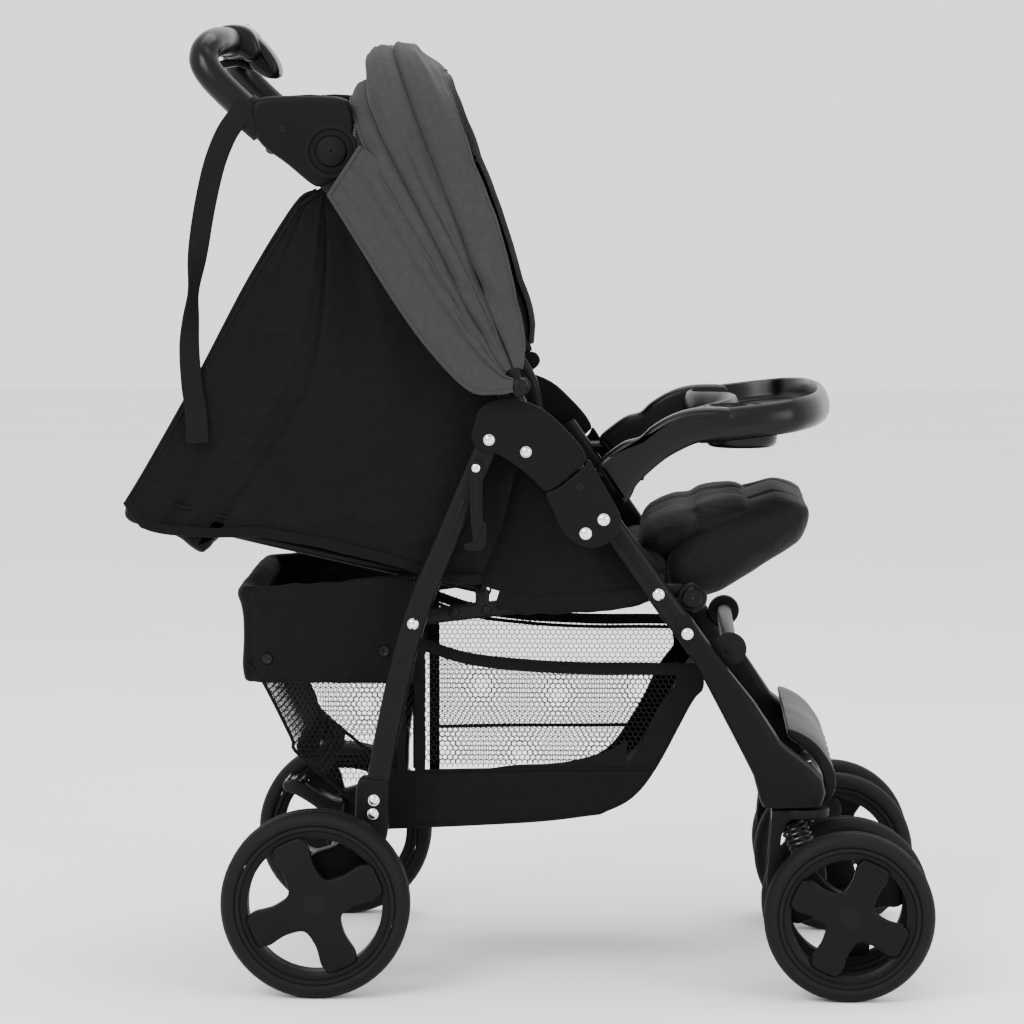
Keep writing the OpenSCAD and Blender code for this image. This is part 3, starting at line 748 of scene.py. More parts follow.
def rrect(x0, x1, y0, y1, r, n=6):
    """Rounded rectangle outline in plan."""
    pts = []
    for cx, cy, a in ((x1 - r, y1 - r, 0), (x0 + r, y1 - r, 90), (x0 + r, y0 + r, 180),
            (x1 - r, y0 + r, 270)):
        for k in range(n + 1):
            t = math.radians(a + 90 * k / n)
            pts.append((cx + r * math.cos(t), cy + r * math.sin(t)))
    return pts


def bowl(outline, steps):
    """Dish: rings of (inset, z) from the outside edge under, over the rim and down to the floor."""
    loops = [[(p[0], p[1], z) for p in inset(outline, d)] for d, z in steps]
    return rings(loops)


shelf = rrect(-267, -175, -177, 177, 12)
cells = [rrect(-262, -182, 66, 172, 14), rrect(-262, -182, -172, -66, 14), rrect(-262, -182, -56, 56, 12)]
shelf_ob = piece("Parent_tray_shelf",
    [deck(shelf, 862, 894, 4, 4)] + [deck(c, 842 if i < 2 else 856, 870, 6, 3) for i,
    c in enumerate(cells)], "shell", None)


def carve(ob, cutter_parts):
    """Takes shapes out of a piece for good."""
    cut = piece(ob.name + "_cut", cutter_parts, "plastic")
    b = ob.modifiers.new("cut", "BOOLEAN")
    b.operation = "DIFFERENCE"
    b.solver = "EXACT"
    b.use_self = True
    b.object = cut
    fresh(ob)
    bpy.data.objects.remove(cut)
    ob.data.set_sharp_from_angle(angle=math.radians(35))


def round_cut(x, y, r, z0, z1, n=56):
    circle = [(x + r * math.cos(TAU * k / n), y + r * math.sin(TAU * k / n)) for k in range(n)]
    return deck(circle, z0, z1, 3, 3)


carve(shelf_ob, [round_cut(-222, 110, 36, 847, 910), round_cut(-222, -110, 36, 847, 910),
                 deck(rrect(-257, -187, -50, 50, 10), 860, 910, 3, 3)])
bev = shelf_ob.modifiers.new("rim", "BEVEL")
bev.width = 1.2 * MM
bev.segments = 2
bev.limit_method = "ANGLE"
bev.angle_limit = math.radians(50)
fresh(shelf_ob)
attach(shelf_ob, "handle")
piece("Parent_tray_ends", tray, "shell", "handle", ["parent_tray"])

# canopy clips and bows
clip = both(plate([(-14, 606), (-12, 619), (0, 622), (6, 613), (0, 604), (-10, 603), (-30, 622), (-46, 626),
    (-48, 636), (-38, 641), (-20, 632)], 214.5, 218.6, 1))
clip += both(tube([(-40, 209.8, 632), (-40, 215, 632)], 8, seg=24)) + both(tube([(-5, 218.4, 613),
    (-5, 232, 613)], 5, seg=20))
clip += both(lathe((-5, 613), [(231.6, 1), (231.6, 8), (232.6, 8), (233.6, 6.5), (233.8, 1)], 28))
piece("Canopy_clips", clip, "plastic", "handle", ["canopy_clips"])
PIVOT = Vector((-5, 613))


def fan(lean, r, y):
    """Point at reach r from the canopy pivot, leaning by an angle from upright, at width y."""
    a = math.radians(lean)
    return (PIVOT.x + r * math.sin(a), y, PIVOT.y + r * math.cos(a))


def bow_path(y, reach, corner=100, n=8):
    """Half outline (y, r) of a bow from its foot over to the middle."""
    pts = [(y, 10), (y, 120)]
    for k in range(n + 1):
        t = math.pi / 2 * k / n
        pts.append((y - corner + corner * math.cos(t), reach - corner + corner * math.sin(t)))
    pts.append((0, reach))
    return pts


def bow(name, lean, y, reach, body, node_name):
    half = bow_path(y - 1.7, reach - 2)
    half = [half[0], ((half[0][0] + half[1][0]) / 2, 60)] + half[1:]
    line = [fan(lean, r, w) for w, r in half] + [fan(lean, r, -w) for w, r in reversed(half[:-1])]
    lean_axis = Vector((math.cos(math.radians(lean)), 0, -math.sin(math.radians(lean))))
    parts = [tube(line, 1.7, 5.5, 14, 3.4, lean_axis)]
    parts += both(lathe((-5, 613), [(y - 3.3, 5.3), (y - 3.3, 9), (y - 0.2, 9), (y - 0.2, 5.3)], 28))
    piece(name, parts, "plastic", body, [node_name])


bow("Canopy_rear_bow", -28, 222.4, 330, "handle", "canopy_rear_bow")
bow("Canopy_mid_bow", -23.5, 226.9, 340, "canopy_mid", "canopy_mid_bow")
bow("Canopy_front_bow", -18.5, 231.4, 334, "canopy_front", "canopy_front_bow")

# ---------------------------------------------------------------- canopy cloth (folded back, in pleats)

CLOTH_REACH = 372
PROFILE = bow_path(232, CLOTH_REACH, 100, 14)
LENGTHS = [0]
for a, b in zip(PROFILE, PROFILE[1:]):
    LENGTHS.append(LENGTHS[-1] + math.hypot(b[0] - a[0], b[1] - a[1]))


def profile_at(s):
    """(y, r, outward y, outward r) along the bow, s from 0 at the foot to 1 at the middle."""
    d = s * LENGTHS[-1]
    for i in range(len(PROFILE) - 1):
        if d <= LENGTHS[i + 1] or i == len(PROFILE) - 2:
            t = (d - LENGTHS[i]) / (LENGTHS[i + 1] - LENGTHS[i])
            a, b = PROFILE[i], PROFILE[i + 1]
            ty, tr = b[0] - a[0], b[1] - a[1]
            m = math.hypot(ty, tr)
            return a[0] + ty * t, a[1] + tr * t, tr / m, -ty / m
    return 0, CLOTH_REACH, 0, 1


def lerp_table(x, table):
    for (x0, y0), (x1, y1) in zip(table, table[1:]):
        if x <= x1:
            return y0 + (y1 - y0) * max(0, (x - x0)) / (x1 - x0)
    return table[-1][1]


# lean of the bundle's rear seam and front edge at each reach, and how far out each part of it stands
SEAM_EDGE = [(0, -60), (20, -55), (60, -42), (148, -35.5), (282, -33), (320, -32), (345, -30), (390, -28)]
FRONT_EDGE = [(0, 12), (37, 8), (86, -3), (156, -8), (227, -12), (280, -13.5), (316, -14.4), (335, -16),
    (361, -18), (390, -19)]
REACH = [(0, 330), (0.16, 338), (0.2, 341), (0.25, 355), (0.5, 360), (0.62, 358), (0.86, 346), (0.94, 332),
    (1, 322)]
CREASES = [0, 0.21, 0.6, 1.0]
JOIN, JOIN_LEAN = 0.6, -21.0


def roll_at(w):
    """Height of the roll of cloth at w: 0 in each crease, 1 on each crown; and the roll's own width."""
    for a, b in zip(CREASES, CREASES[1:]):
        if w <= b:
            t = min(1.0, max(0.0, (w - a) / (b - a)))
            return math.sin(math.pi * t) ** 0.55, b - a
    return 0.0, 0.4


# extra lean of the front edge in degrees; unequal left to right, to agree with the one known view
NEAR_LEAN, FAR_LEAN = 1.3, -3.6


def canopy_point(u, w, lift=0.0):
    """Folded canopy. u runs from the right pivot over the top to the left one, w from the rear seam
    forwards."""
    s = 1 - abs(2 * u - 1)
    side = RIGHT if u < 0.5 else LEFT
    y, r, oy, orr = profile_at(0.02 + 0.98 * s)
    drop = CLOTH_REACH - lerp_table(w, REACH)
    r = r * (1 - drop / CLOTH_REACH)
    sway = (NEAR_LEAN if side == RIGHT else FAR_LEAN) * min(1, s * 6) * max(0, 1 - s * 1.15)
    if w < JOIN:
        lean = lerp_table(r, SEAM_EDGE) * (1 - w / JOIN) + JOIN_LEAN * w / JOIN
    else:
        lean = JOIN_LEAN * (1 - w) / (1 - JOIN) + (lerp_table(r, FRONT_EDGE) + sway) * (w - JOIN) / (1
            - JOIN)
    roll, wide = roll_at(w)
    near = min(1.0, max(0.0, (r - 14) / 110))
    bulge = (5 + 22 * wide) * roll * (0.25 + 0.75 * near)
    small = wob((w * 9, r * 0.012, side), 1.6, 2.6, 2.2) + wob((y * 0.03, r * 0.035, w * 4), 1.0, 2.2, 5.1)
    tuck = -3.0 * math.exp(-((w - 0.42 - 0.0006 * (200 - r)) / 0.02) ** 2) * (1 if r < 260 else 0.3)
    low = 2.6 * math.sin(r * 0.09 + w * 22) * math.exp(-((r - 95) / 45) ** 2)
    d = bulge + (small + tuck + low) * (0.3 + 0.7 * near) - 4 + lift
    return fan(lean + small * 0.12 * min(1, 8 * abs(w - JOIN)), r + orr * d,
        side * (y + oy * max(-4, min(d * 0.7, 10))))


def canopy_sheet(name, w0, w1, body, nodes):
    part = grid(lambda u, v: canopy_point(u, w0 + (w1 - w0) * v), 190, 72, 1.3)
    return piece(name, part, "grey", body, nodes, 60)


rear = canopy_sheet("Canopy_rear_cloth", 0.0, 0.6, None, ["canopy_rear_cloth"])
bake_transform(rear)
front = canopy_sheet("Canopy_front_cloth", 0.6, 0.93, None, ["canopy_front_cloth"])
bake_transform(front)
canopy_sheet("Canopy_peak", 0.93, 1.0, "canopy_front", ["canopy_peak"])


def canopy_line(w, u0, u1, lift, n=120):
    return [canopy_point(u0 + (u1 - u0) * k / n, w, lift) for k in range(n + 1)]


def canopy_lip(u, v):
    """Front edge of the canopy, turned back behind its outer face."""
    q = Vector(canopy_point(u, 1.0))
    deep = Vector(canopy_point(u, 1.0, -16 * v))
    turn = math.sin(v * math.pi * 0.75)
    return deep.x - 7 * turn, deep.y, deep.z - 2 * turn + (q.z - deep.z) * 0.1


piece("Canopy_front_lip", grid(canopy_lip, 150, 10, 1.2), "grey", "canopy_front", (), 60)
hem_path = canopy_line(0.99, 0.02, 0.98, 1.0, 90)
piece("Canopy_front_hem", tube(hem_path, 1.5, 1.5, 10), "grey", "canopy_front")
ridge = tube(canopy_line(0.012, 0.0, 1.0, 2.5), 1.7, 1.7, 10)
piece("Canopy_rear_piping", ridge, "grey", "handle")

# side flaps behind the pivot, hanging from the rear seam
FLAP_OUT = spline([(-12, 610), (-28, 608), (-55, 612), (-94, 652), (-129, 701), (-172, 770), (-193, 803)],
    6)
FLAP_IN = spline([(-10, 622), (-24, 630), (-52, 668), (-88, 730), (-120, 790), (-146, 838), (-162, 850)], 6)


def flap(side):
    def f(u, v):
        a, b = along(FLAP_OUT, u)[0], along(FLAP_IN, u)[0]
        q = a + (b - a) * v
        fold = 2.6 * math.exp(-((v - 0.35 - 0.3 * (1 - u)) / 0.07) ** 2) * u - 2.4 * math.exp(-((v - 0.62
            - 0.2 * (1 - u)) / 0.05) ** 2)
        puffed = 3.0 * math.sin(math.pi * v) * math.sin(math.pi * min(1, u * 1.1))
        return q.x, side * (233.2 + fold + puffed + wob((q.x, q.y, 0), 0.035, 1.6, 3)), q.y
    part = grid(f, 72, 32, 1.4)
    hem = [f(k / 60, 0.0) for k in range(61)] + [f(1.0, k / 12) for k in range(1, 13)]
    return [part, tube([(q[0], q[1] + side * 0.4, q[2]) for q in hem], 2.2, 2.0, 12)]


piece("Canopy_side_flaps", flap(RIGHT) + flap(LEFT), "grey", "handle", (), 60)

# ---------------------------------------------------------------- child tray

TRAY_OUT = spline([(71, 532), (87, 547), (101, 556), (115, 560), (126, 570), (144, 581), (164, 588),
    (186, 590), (206, 588), (214, 574), (206, 560), (184, 556), (169, 553), (145, 541), (127, 527),
    (112, 512), (106, 500), (98, 493), (88, 504), (78, 520)], 4, True)
arms = both(slab(TRAY_OUT, 166, 189, 7, 5))
arms += both(plate([(84, 541), (102, 552), (117, 556), (128, 566), (146, 577), (166, 583), (190, 585),
    (190, 582), (164, 579), (144, 572), (127, 561), (102, 547)], 188, 190, 0.8))
arms += both(tube([(106, 178, 520), (92, 178, 522), (60, 178, 522)], 5.4, 5.4, 18))
TILT = math.radians(7)
TIP_X, TIP_Z = 182, 571


def tilt(p):
    """Tips the tray's plan up towards its front edge."""
    x, z = p.x - TIP_X, p.z - TIP_Z
    return Vector((TIP_X + x * math.cos(TILT) - z * math.sin(TILT), p.y,
        TIP_Z + x * math.sin(TILT) + z * math.cos(TILT)))


half_plan = [(206, 0), (201, 40), (186, 76), (170, 108), (162, 134), (162, 156), (168, 174), (184, 186),
    (215, 190), (250, 186), (278, 172), (299, 130), (309, 66), (312, 0)]
plan = spline(half_plan + [(x, -y) for x, y in half_plan[-2:0:-1]], 5, True)
dish = [(17, 553), (9, 553.6), (4, 556), (1, 561), (0, 568), (0.6, 575), (2.6, 581.4), (5.4, 585.6),
    (8, 587), (10.4, 585.6), (12.4, 581), (14, 573), (15.6, 569), (17.6, 567)]
tray_ob = piece("Child_tray_top", [moved(bowl(plan, dish), tilt)], "gloss", None)
carve(tray_ob, [round_cut(218, -105, 34, 530, 640)])
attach(tray_ob, "child_tray")
piece("Child_tray_arms", arms, "gloss", "child_tray", ["child_tray"])
cup_low = moved(lathe((0, 0), [(545.4, 4), (545, 30), (546, 33.4), (549, 35.6), (554, 36.6), (580, 37),
    (586, 36.6), (587, 34.6), (585, 33.4), (560, 32.6), (554, 30), (552.4, 4)], 64),
    lambda p: Vector((218 + p.x, -105 + p.z, p.y)))
piece("Child_tray_cup", [cup_low], "gloss", "child_tray")

# ---------------------------------------------------------------- soft parts

def at_table(v, table):
    return lerp_table(v, table) if isinstance(table, list) else table


def pad(spine, half_w, half_h, expo=(3.4, 2.6), grooves=(), channels=(), cross=(), depth=5.0, end=26.0,
        seg=112, steps=72, seed=0.0):
    """Stuffed pad lofted along a side-view spine. grooves: section angles in degrees, channels: shares of the
    half width, cross: shares of the length, where stitching pulls the cover in."""
    line = spline(spine, 8)
    total = sum((b - a).length for a, b in zip(line, line[1:]))
    loops = []
    for j in range(steps + 1):
        v = 0.5 - 0.5 * math.cos(math.pi * j / steps)
        c, t = along(line, v)
        nrm = Vector((-t.y, t.x))
        if nrm.y < 0:
            nrm = -nrm
        near = min(v, 1 - v) * total
        k = math.sqrt(max(0.0, 1 - (1 - min(1, near / end)) ** 2)) * 0.97 + 0.03
        w, h = at_table(v, half_w), at_table(v, half_h) * k
        w = w - (1 - k) * min(end, w * 0.4)
        ring = []
        for i in range(seg):
            a = TAU * i / seg
            cy, cz = sg(math.cos(a), expo[0]), sg(math.sin(a), expo[1])
            dip = 0.0
            for g in grooves:
                diff = (math.degrees(a) - g + 180) % 360 - 180
                dip += math.exp(-(diff / 3.4) ** 2) * 0.8
            for u in channels:
                dip += math.exp(-((cy - u) * w / 6.5) ** 2) * abs(cz)
            for s in cross:
                dip += math.exp(-((v - s) * total / 6.5) ** 2) * (0.4 + 0.6 * abs(cz))
            inw = depth * min(1.4, dip) * k
            y, n = cy * (w - inw * abs(cy)), cz * (h - inw * abs(cz)) + wob((c.x, cy * w, cz * 40), 0.028,
                1.6, seed)
            ring.append((c.x + nrm.x * n, y, c.y + nrm.y * n))
        loops.append(ring)
    return rings(loops)


def strap_line(pts, y, width, thick, expo=5, seg=20):
    """Flat webbing lying along a side-view path at width y."""
    return tube([(p[0], y, p[1]) for p in pts], thick / 2, width / 2, seg, expo)


# seat: cushion, board, and the cloth and hem low at each side
seat = piece("Sitting_cushion", pad([(-27, 402), (30, 410), (90, 417), (150, 424)], 147,
    [(0, 13), (0.3, 16), (0.8, 19), (1, 18)], (5, 2.6), (), (-0.56, 0.56, 0), (0.36, 0.7), 4.5, 22, seed=3),
    "pad", "frame", ["seat_cushion"])
puff(seat, 5, 7)
keep("seat_board", "shell", 2)


def between(lower, upper, u, v):
    a, b = along(lower, u)[0], along(upper, u)[0]
    return a + (b - a) * v


def side_cloth(side):
    lower = spline([(-75, 428), (-50, 412), (-24, 402), (16, 398), (70, 402), (118, 410)], 5)
    upper = spline([(-58, 585), (-30, 598), (-8, 575), (28, 520), (60, 478), (96, 441)], 5)

    def f(u, v):
        p = between(lower, upper, u, v)
        fold = 1.1 * math.exp(-((u - 0.42 - 0.12 * v) / 0.035) ** 2) + 0.8 * math.exp(-((u - 0.7
            + 0.1 * v) / 0.03) ** 2)
        return p.x, side * (167.4 + wob((p.x, p.y, 0), 0.03, 1.1, 5) + fold), p.y
    ob = piece("Lower_side_cloth_" + ("left" if side > 0 else "right"), grid(f, 56, 48, 1.5), "cloth",
        "frame", ["seat_side_cloth"] if side > 0 else ())
    hem_line = [(x, 164, z) for x, z in ((-28, 395), (-14, 391), (6, 390), (40, 391), (75, 393), (112, 399),
        (140, 410))]
    hem = tube([(p.x, p.y * side, p.z) for p in spline(hem_line, 5)],
        [11 + wob((i, 0, 0), 0.4, 3.0) for i in range(31)], [7.4] * 31, 26, 2.6)
    piece(ob.name + "_hem", hem, "cloth", "frame")


side_cloth(RIGHT)
side_cloth(LEFT)

# harness on the seat: lap straps, crotch strap and a five-point buckle
lap = []
for s in (RIGHT, LEFT):
    lap.append(tube([(64 + 6 * math.cos(k), s * y, z) for k,
        (y, z) in enumerate(((145, 434), (128, 440), (90, 439), (55, 440), (22, 446)))], 1.1, 12.5, 20, 5,
        (1, 0, 0)))
    lap.append(tube([(64, s * 46, 441.5), (64, s * 37, 443.6)], 3, 17, 20, 5, (1, 0, 0)))
lap.append(strap_line([(84, 445), (94, 443), (108, 440), (121, 432)], 0, 25, 2.4))
piece("Lap_harness", lap, "webbing", "frame", ["lap_harness"])
buckle = deck(rrect(49, 86, -23, 23, 9), 437.5, 452, 4, 4)
button = deck(rrect(57, 73, -9, 9, 5), 448, 454.5, 2, 3)
prong = [deck(rrect(60, 72, s * 26 - 7, s * 26 + 7, 3), 441, 449, 2, 3) for s in (RIGHT, LEFT)]
piece("Harness_buckle", [buckle, button] + prong, "plastic", "frame", ["harness_buckle"])

# backrest: wire frame, quilted cushion, padded shoulder straps and the loose bottom of the cover
wire = []
hoop = spline([(-44, 145, 403), (-130, 145, 422), (-280, 145, 455.5), (-297, 138, 459.5), (-303, 120, 461),
    (-303, 0, 461), (-303, -120, 461), (-297, -138, 459.5), (-280, -145, 455.5), (-130, -145, 422),
    (-44, -145, 403)], 5)
wire.append(tube(hoop, 5.8, 5.8, 16))
wire += both(lathe((-44, 403), [(142, 7), (142, 9), (149.6, 9), (149.6, 7)], 28))
piece("Backrest_frame", wire, "tube", "backrest", ["backrest_frame"])
back = piece("Backrest_cushion", pad([(-66, 430), (-180, 457), (-300, 483)], [(0, 140), (1, 134)], 15.5,
    (5, 2.6), (), (-0.34, 0.34), (0.25, 0.5, 0.75), 5, 24, seed=8), "pad", "backrest", ["backrest_cushion"])
puff(back, 5, 7)
straps = []
for s in (RIGHT, LEFT):
    straps.append(strap_line([(-70, 449.5), (-96, 454), (-280, 497), (-296, 497)], s * 58, 25, 2.2))
    straps.append(pad([(-120, 462.5), (-200, 481.5), (-262, 495.5)], 21, 4.2, (4, 2.4), (), (),
        (0.25, 0.5, 0.75), 1.2, 8, 48, 30))
    straps[-1] = moved(straps[-1], lambda p, s=s: Vector((p.x, p.y + s * 58, p.z)))
shoulder = piece("Shoulder_straps", straps, "webbing", "backrest", ["shoulder_straps"])


def sag_loop(outline, half, r, name, mat, body, nodes, amp=2.0, rows=40):
    """Loose fold of cloth running across the stroller, rounded in at both ends."""
    base = spline(outline, 5, True)
    loops = []
    for j in range(rows + 1):
        t = -1 + 2 * j / rows
        y = half * math.sin(t * math.pi / 2)
        k = math.sqrt(max(0.0, 1 - (max(0.0, abs(y) - (half - r)) / r) ** 2))
        ring = [(p.x, y, p.y) for p in inset(base, (1 - k) * 9)]
        loops.append([(x + wob((x, y * 0.7, z), 0.03, amp, 2), w,
            z + wob((x, y * 0.7, z), 0.03, amp, 7)) for x, w, z in ring])
    return piece(name, [rings(loops)], mat, body, nodes, 60)


def under_back(u, v):
    """Cloth under the backrest, out to the cabin's sides."""
    x = -92 - 266 * v
    y = (173 + 7.5 * min(1, 3 * v)) * (2 * u - 1)
    edge = abs(2 * u - 1) ** 6
    z = 413 - 0.228 * (x + 70) + 15 * edge - 4 * math.sin(math.pi * v) + wob((x, y, 0), 0.03, 3.0, 12)
    return x, y, z


under = piece("Backrest_under_cloth", grid(under_back, 70, 50, 1.6), "cloth", "backrest", (), 60)
skirt = sag_loop([(-300, 456), (-311, 464), (-320, 447), (-327, 441), (-338, 446), (-348, 454), (-363, 461),
    (-384, 466), (-399, 470), (-406, 480), (-400, 497), (-380, 497), (-340, 484), (-305, 475)], 178, 16,
    "Backrest_skirt", "cloth", "backrest", ["backrest_skirt"])

# leg rest: a covered lower pad that ends in a lobe, and a softer one lying on it
leg = piece("Legrest_pad", pad([(147, 402), (170, 421), (217, 449), (251, 465), (289, 483)],
    [(0, 147), (0.7, 149), (1, 143)], [(0, 26), (0.25, 34), (0.5, 33), (0.85, 26), (1, 16)], (6, 2.7),
    (8, 172, 30, 150, 330, 210), (-0.45, 0.45), (), 4.5, 24, 128, 80, seed=11), "pad", "legrest",
    ["legrest_board", "legrest_pad"])
puff(leg, 5, 3)
soft = piece("Legrest_upper_pad", pad([(112, 440), (150, 456), (188, 469), (236, 479)],
    [(0, 128), (0.5, 138), (1, 136)], [(0, 18), (0.3, 20), (1, 15)], (5, 2.2), (20, 160, 340, 200),
    (-0.34, 0.34), (0.5,), 5, 22, 112, seed=14), "pad", "legrest")
puff(soft, 5, 4)

# ---------------------------------------------------------------- cabin cloth: one sheet round the back

BACK_LINE = [(-209, 806), (-229, 792), (-276, 717), (-327, 621), (-378, 531), (-401, 493)]
FRONT_LINE = [(-190, 812), (-150, 768), (-100, 708), (-52, 650), (-8, 596), (-6, 540), (-24, 470),
    (-46, 414)]
LOW_EDGE = [(-401, 493), (-384, 469), (-363, 464), (-316, 461), (-267, 462), (-197, 450), (-121, 430),
    (-86, 417), (-46, 414)]
HALF = 185.5
CORNER = 16
SIDE_SHARE, BEND_SHARE = 0.36, 0.05


def cabin_side(u, v):
    """Side panel: u 0 at the front edge, 1 at the back edge; v 0 at the top."""
    f, b = along(FRONT_LINE, v)[0], along(BACK_LINE, v)[0]
    p = f + (b - f) * u
    low = along(LOW_EDGE, 1 - u)[0]
    straight = FRONT_LINE[-1][0] + (BACK_LINE[-1][0]
        - FRONT_LINE[-1][0]) * u, FRONT_LINE[-1][1] + (BACK_LINE[-1][1] - FRONT_LINE[-1][1]) * u
    return p + (low - Vector(straight)) * v ** 3


def cabin(u, v):
    side = RIGHT if u < 0.5 else LEFT
    w = u if u < 0.5 else 1 - u
    back = along(BACK_LINE, v)[0]
    if w < SIDE_SHARE:
        s = w / SIDE_SHARE
        p = cabin_side(s, v)
        seam = (s - (0.52 + 0.22 * v)) / 0.012
        fold = math.exp(-seam ** 2) * -2.4 + 2.2 * math.exp(-((s - (0.60 + 0.22 * v)) / 0.03) ** 2)
        fold += 2.2 * math.exp(-((s - 0.22 - 0.3 * v) / 0.05) ** 2) * (1
            - v) - 2.0 * math.exp(-((s - 0.86) / 0.02) ** 2)
        free = min(1.0, (1 - s) * 5) * min(1.0, v * 6 + 0.2)
        y = HALF - 2 + (fold * 1.5 + wob((p.x, p.y * 0.6, 0), 0.016, 9.0, 1)
            + wob((p.x * 0.6, p.y * 1.6, 0), 0.04, 2.6, 4) - 3.0) * free
        return p.x, side * min(y, 189.0), p.y
    if w < SIDE_SHARE + BEND_SHARE:
        a = (w - SIDE_SHARE) / BEND_SHARE * math.pi / 2
        nxt = along(BACK_LINE, min(1, v + 0.01))[0] - along(BACK_LINE, max(0, v - 0.01))[0]
        out = Vector((nxt.y, -nxt.x)).normalized()
        if out.x > 0:
            out = -out
        drawn = CORNER * (math.sin(a) - 1) * 0.25
        return back.x + out.x * drawn, side * (HALF - 1
            - CORNER * (1 - math.cos(a))), back.y + out.y * drawn
    t = (w - SIDE_SHARE - BEND_SHARE) / (0.5 - SIDE_SHARE - BEND_SHARE)
    y = (HALF - 1 - CORNER) * (1 - t)
    hollow = (1 - (y / (HALF - CORNER)) ** 2)
    dip = 9 * hollow * math.sin(math.pi * min(1, v * 1.05)) + wob((y, v * 380, 0), 0.02, 5, 6) * min(1,
        hollow * 3)
    return back.x + dip * 0.8, side * y, back.y - dip * 0.4


TOP_LINE = spline([(-209, 805), (-194, 815), (-181, 835), (-173, 857), (-171, 874)], 6)


def cabin_top(u, v):
    """Upper edge of the cabin cloth, carried on under the parent tray to the canopy's seam."""
    p = along(TOP_LINE, v)[0]
    y = (HALF - 3) * (2 * u - 1)
    slack = wob((y, v * 60, 0), 0.03, 2.4, 9) * math.sin(math.pi * v)
    return p.x + slack, y, p.y + slack * 0.5


cab_parts = [grid(cabin, 260, 110, 1.6), grid(cabin_top, 90, 24, 1.4)]
cab = piece("Cabin_cloth", cab_parts, "cloth", "handle", ["cabin_cloth"], 60)
edge = []
for s in (RIGHT, LEFT):
    edge.append(tube([(q.x - 0.5, s * (HALF - 5), q.y) for q in spline(BACK_LINE, 6)], 2.6, 2.6, 12))
low_line = [cabin_side(1 - k / 40, 1.0) for k in range(41)]
edge += both(tube([(q.x, HALF - 1.2, q.y + 1.5) for q in low_line], 5, 1.7, 14, 3))
hem = piece("Cabin_binding", edge, "binding", "handle")
for soft_piece in (cab, hem):
    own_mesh(soft_piece)

# ---------------------------------------------------------------- storage basket

NET_RIM = [(-114, 356), (-101, 351), (-60, 338), (0, 331), (60, 328), (120, 328), (176, 327)]
NET_FRONT = [(176, 327), (178, 305), (166, 289), (131, 223), (106, 192), (75, 176)]
NET_REAR = [(-284, 330), (-266, 308), (-238, 252), (-228, 232), (-142, 160)]


def inside(poly, x, z):
    hit = False
    for (x0, z0), (x1, z1) in zip(poly, poly[1:] + poly[:1]):
        if (z0 > z) != (z1 > z) and x < (x1 - x0) * (z - z0) / (z1 - z0) + x0:
            hit = not hit
    return hit


def basket_y(x, z):
    """Half width of the basket at a place on its side: drawn in a little between the seams."""
    return 160.5 - 5 * math.exp(-((z - 265) / 50) ** 2) * math.exp(-((x - 30) / 90) ** 2) + wob((x, z, 0),
        0.02, 1.6, 9)


def net(poly, place, pitch=(5.6, 4.9), r=0.5):
    """Knitted net with six-sided holes over an outline, as thin three-sided threads set by place(x, z)."""
    px, pz = pitch
    xs, zs = [p[0] for p in poly], [p[1] for p in poly]
    verts, faces = [], []

    def thread(a, b):
        pa, pb = Vector(place(*a)), Vector(place(*b))
        t = (pb - pa).normalized()
        n1 = t.orthogonal().normalized()
        n2 = t.cross(n1)
        o = len(verts)
        for p in (pa, pb):
            for k in range(3):
                w = TAU * k / 3
                verts.append(p + (n1 * math.cos(w) + n2 * math.sin(w)) * r)
        for k in range(3):
            k2 = (k + 1) % 3
            faces.append((o + k, o + k2, o + 3 + k2, o + 3 + k))
    row = 0
    z = min(zs)
    while z < max(zs):
        x = min(xs) + (px / 2 if row % 2 else 0)
        while x < max(xs):
            c = (x, z)
            if inside(poly, *c):
                top, low = (x, z + pz * 0.33), (x, z - pz * 0.33)
                thread(low, top)
                thread(top, (x + px / 2, z + pz * 0.67))
                thread(top, (x - px / 2, z + pz * 0.67))
            x += px
        z += pz
        row += 1
    return verts, faces


SIDE_NET = [(-112, 352), (-60, 336), (0, 330), (60, 327), (120, 327), (175, 326), (176, 306), (164, 289),
    (137, 240), (128, 224), (-113, 222)]
# the far rim of the basket stands this much higher than the near one
FAR_RISE = 14
FAR_NET = [(x, z + FAR_RISE) for x, z in SIDE_NET[:6]] + SIDE_NET[6:9] + [(106, 192), (78, 180),
    (-113, 170)]
REAR_NET = [(-262, 308), (-236, 252), (-226, 232), (-200, 208), (-124, 208), (-124, 320), (-262, 320)]
net_parts = []
for s in (RIGHT, LEFT):
    net_parts.append(net(SIDE_NET if s == RIGHT else FAR_NET, lambda x, z, s=s: (x, s * basket_y(x, z), z)))
    net_parts.append(net(REAR_NET, lambda x, z, s=s: (x, s * basket_y(x, z), z)))
PANEL_HALF = 157
rear_panel = [(-PANEL_HALF, 214), (PANEL_HALF, 214), (PANEL_HALF, 316), (-PANEL_HALF, 316)]


def rear_x(z):
    for (x0, z0), (x1, z1) in zip(NET_REAR, NET_REAR[1:]):
        if z >= z1:
            return x0 + (x1 - x0) * (z0 - z) / (z0 - z1)
    return NET_REAR[-1][0]


net_parts.append(net(rear_panel, lambda y, z: (rear_x(z) + 6 * (1 - (y / PANEL_HALF) ** 2), y, z)))
piece("Basket_net", net_parts, "net", "frame", ["basket_body"], fix=False)
panels = []


